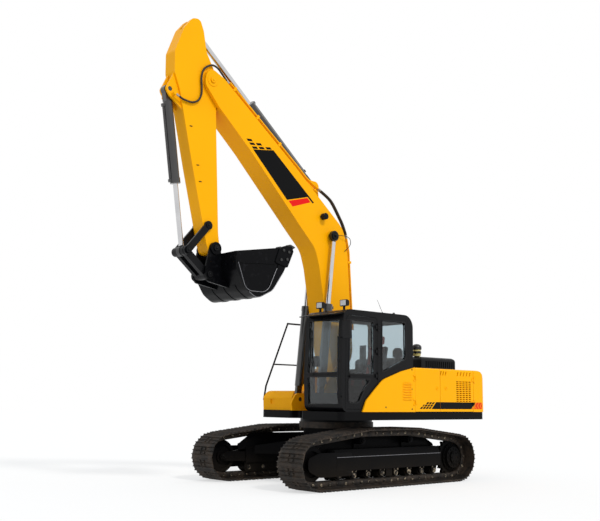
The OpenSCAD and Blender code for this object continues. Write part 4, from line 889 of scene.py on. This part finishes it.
# Arm: the same welded box work in machine yellow, with short clips for a grease line
# welded down its left side.
arm_finish = Finish("arm paint", Specular_IOR_Level=0.07)
arm_finish.feed(Base_Color=yellow_coat(arm_finish))
arm_finish.on("arm", "boom_pipes")
arm_turn = math.radians(-93.4)
arm_pivot = Vector((2.499189, 0, 6.765889))
arm_along = Vector((math.cos(arm_turn), 0, math.sin(arm_turn)))
arm_rise = Vector((-math.sin(arm_turn), 0, math.cos(arm_turn)))


def on_arm(s, y, t):
    return arm_pivot + arm_along * s + arm_rise * t + Vector((0, y, 0))


arm_clip = turned("arm_clip", ((-0.001, 0.030), (0.008, 0.030), (0.011, 0.027)), trim_finish,
                  Matrix.Diagonal((1.0, 0.22, 1, 1)), sides=12)
clips = [Matrix.Translation(on_arm(s, 0.140, t)) @ Matrix.Rotation(math.radians(-90), 4, "X")
         for s, t in ((0.846, 0.412), (1.490, 0.292), (1.763, 0.249))]
strew("arm_clips", arm_clip, clips, "arm")
bpy.data.objects.remove(arm_clip)

# Pin caps: cast discs with a centre bolt on the ends of the pins. Those of the boom and the arm are yellow,
# those of the rams, the linkage and the bucket black.
bucket_pin = Vector((2.328980, 0, 3.900941))
ram_pin = Vector((0.690 + swing_x, 0, 1.450))
pin_cap = turned("pin_cap", ((-0.003, 0.050), (0.010, 0.050), (0.014, 0.045), (0.014, 0.018), (0.024, 0.018),
                             (0.027, 0.014)), arm_finish, sides=24)
foot_caps = [facing(on_boom(0, side * 0.270, 0), (0, side, 0), 1.3) for hand, side in hands]
tip_caps = [facing(on_boom(5.690, side * 0.235, 0), (0, side, 0)) for hand, side in hands]
strew("boom_pin_caps", pin_cap, foot_caps + tip_caps, "boom")
shade(pin_cap, black_finish)
ram_caps = [facing(ram_pin + Vector((0, side * 0.373, 0)), (0, side, 0)) for hand, side in hands]
rod_caps = [facing(on_boom(2.254, side * 0.330, 1.131), (0, side, 0), 1.6) for hand, side in hands]
link_caps = [facing(on_arm(s, side * y, t), (0, side, 0)) for hand, side in hands
             for s, t, y in ((2.930, 0.545, 0.205), (2.494, 0.124, 0.190))]
bucket_caps = [facing(bucket_pin + Vector((x, side * y, z)), (0, side, 0)) for hand, side in hands
               for x, z, y in ((0, 0, 0.222), (0.111, -0.446, 0.216))]
strew("ram_pin_caps", pin_cap, ram_caps, "boom_barrels")
strew("rod_pin_caps", pin_cap, rod_caps, "boom_rods")
strew("link_pin_caps", pin_cap, link_caps, "guide_links")
strew("bucket_pin_caps", pin_cap, bucket_caps, "bucket")
bpy.data.objects.remove(pin_cap)

# Rams: drawn steel barrels in glossy black enamel, and ground, hard chromed rods
# welded into black eyes.
barrel_finish = Finish("barrel enamel", Specular_IOR_Level=0.55, Coat_Weight=0.6, Coat_Roughness=0.08)
barrel_cloud = barrel_finish.noise(6, 4)
barrel_finish.feed(
    Base_Color=barrel_finish.mix(barrel_cloud, (0.006, 0.006, 0.007, 1), (0.020, 0.019, 0.019, 1)),
    Roughness=0.24 + barrel_cloud * 0.16,
    Normal=barrel_finish.bump(barrel_finish.noise(150, 2), 0.04, 0.001))
barrel_finish.on("boom_barrels", "arm_barrel", "bucket_barrel")
rod_finish = Finish("chrome rod")
rod_x = rod_finish.axis("X")
rod_z = rod_finish.axis("Z")
rod_eyes = 0.0
for eye, size in ((on_boom(2.254, 0, 1.131), 0.118), (Vector((2.80331, 0, 7.66944)), 0.105),
                  (on_arm(2.930, 0, 0.545), 0.098)):
    rod_eyes = rod_eyes + ((rod_x - eye.x) * (rod_x - eye.x) + (rod_z - eye.z) * (rod_z - eye.z) < size * size)
rod_chrome = rod_finish.mix(rod_finish.noise(5, 3), (0.50, 0.50, 0.51, 1), (0.68, 0.68, 0.69, 1))
rod_finish.feed(
    Base_Color=rod_finish.mix(rod_eyes, rod_chrome, black),
    Metallic=1 - rod_eyes,
    Roughness=0.12 + rod_finish.noise(30, 3) * 0.10 + rod_eyes * 0.2)
rod_finish.on("boom_rods", "arm_rod", "bucket_rod")

# Bucket: thick wear-resisting plate in black paint, with pale beads round its border plates and bolted side
# cutters.
# The beads are partly welds and partly painted highlights along the plates' edges.
bucket_finish = Finish("bucket plate", Specular_IOR_Level=0.07)
bucket_cloud = bucket_finish.noise(2.4, 5)
bucket_scuff = bucket_finish.ramp(bucket_finish.noise(14, 6), 0.56, 0.72)
bucket_finish.feed(
    Base_Color=bucket_finish.mix(bucket_scuff * bucket_cloud,
                                 (0.0022, 0.0023, 0.0030, 1), (0.012, 0.012, 0.014, 1)),
    Roughness=0.20 + bucket_cloud * 0.20 + bucket_scuff * 0.12,
    Normal=bucket_finish.bump(bucket_finish.noise(40, 4), 0.07, 0.003))
bucket_finish.on("bucket")
tooth_finish = Finish("tooth steel", Metallic=0.5, Specular_IOR_Level=0.3)
tooth_finish.feed(
    Base_Color=tooth_finish.mix(tooth_finish.noise(20, 5), (0.010, 0.010, 0.012, 1), (0.080, 0.078, 0.076, 1)),
    Roughness=0.34 + tooth_finish.noise(60, 3) * 0.2)
tooth_finish.on("bucket_teeth")


def eased(corners, steps=6):
    """The points of an open line through corners, each rounded to its radius."""
    line = [Vector(corners[0][:2])]
    for before, corner, after in zip(corners, corners[1:], corners[2:]):
        c = Vector(corner[:2])
        a = (c - Vector(before[:2])).normalized()
        b = (Vector(after[:2]) - c).normalized()
        half = math.acos(max(-1.0, min(1.0, a.dot(b)))) / 2
        middle = c + (b - a).normalized() * corner[2] / math.cos(half)
        first = c - a * corner[2] * math.tan(half) - middle
        way = 1 if a.x * b.y - a.y * b.x > 0 else -1
        for k in range(steps + 1):
            turn = way * 2 * half * k / steps
            line.append(middle + Vector((first.x * math.cos(turn) - first.y * math.sin(turn),
                                         first.x * math.sin(turn) + first.y * math.cos(turn))))
    return line + [Vector(corners[-1][:2])]


# Two beads on each side: one where the border plate meets the side plate, partly a weld and partly a painted
# highlight, and one on the plate's outer rim, which is a painted highlight line.
border_line = eased(((-0.985, -0.276, 0), (-0.785, -0.702, 0.220), (-0.340, -0.705, 0.180), (-0.165, -0.254, 0)))
rim_highlight_line = eased(((-1.130, -0.320, 0), (-0.896, -0.655, 0.250), (-0.560, -0.822, 0.200), (-0.400, -0.719, 0)))
for hand, side in hands:
    for name, points, y in (("border_bead_", border_line, 0.601), ("edge_bead_", rim_highlight_line, 0.603)):
        seam = [bucket_pin + Vector((p.x, side * y, p.y)) for p in points]
        bead = tube(name + hand, seam, 0.0062, bead_highlight_finish, sides=8)
        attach(bead, "bucket")
cutter_bolt = turned("cutter_bolt", ((-0.002, 0.027), (0.014, 0.027), (0.018, 0.022)), tooth_finish,
                     sides=6, degrees=20)
cutter_spots = ((-1.230, 0.030), (-1.190, -0.100), (-1.110, 0.050), (-1.060, -0.120))
cutter_face = 0.622
tooth_count = 5
tooth_span = 1.050
tooth_half = 0.050
bolts = [facing(bucket_pin + Vector((x, side * cutter_face, z)), (0, side, 0))
         for hand, side in hands for x, z in cutter_spots]
for k in range(tooth_count):
    tooth_y = (k / (tooth_count - 1) - 0.5) * tooth_span
    bolts += [facing(bucket_pin + Vector((-1.275, tooth_y + side * tooth_half, 0.128)), (0, side, 0), 0.6)
              for hand, side in hands]
strew("bucket_bolts", cutter_bolt, bolts, "bucket")
bpy.data.objects.remove(cutter_bolt)
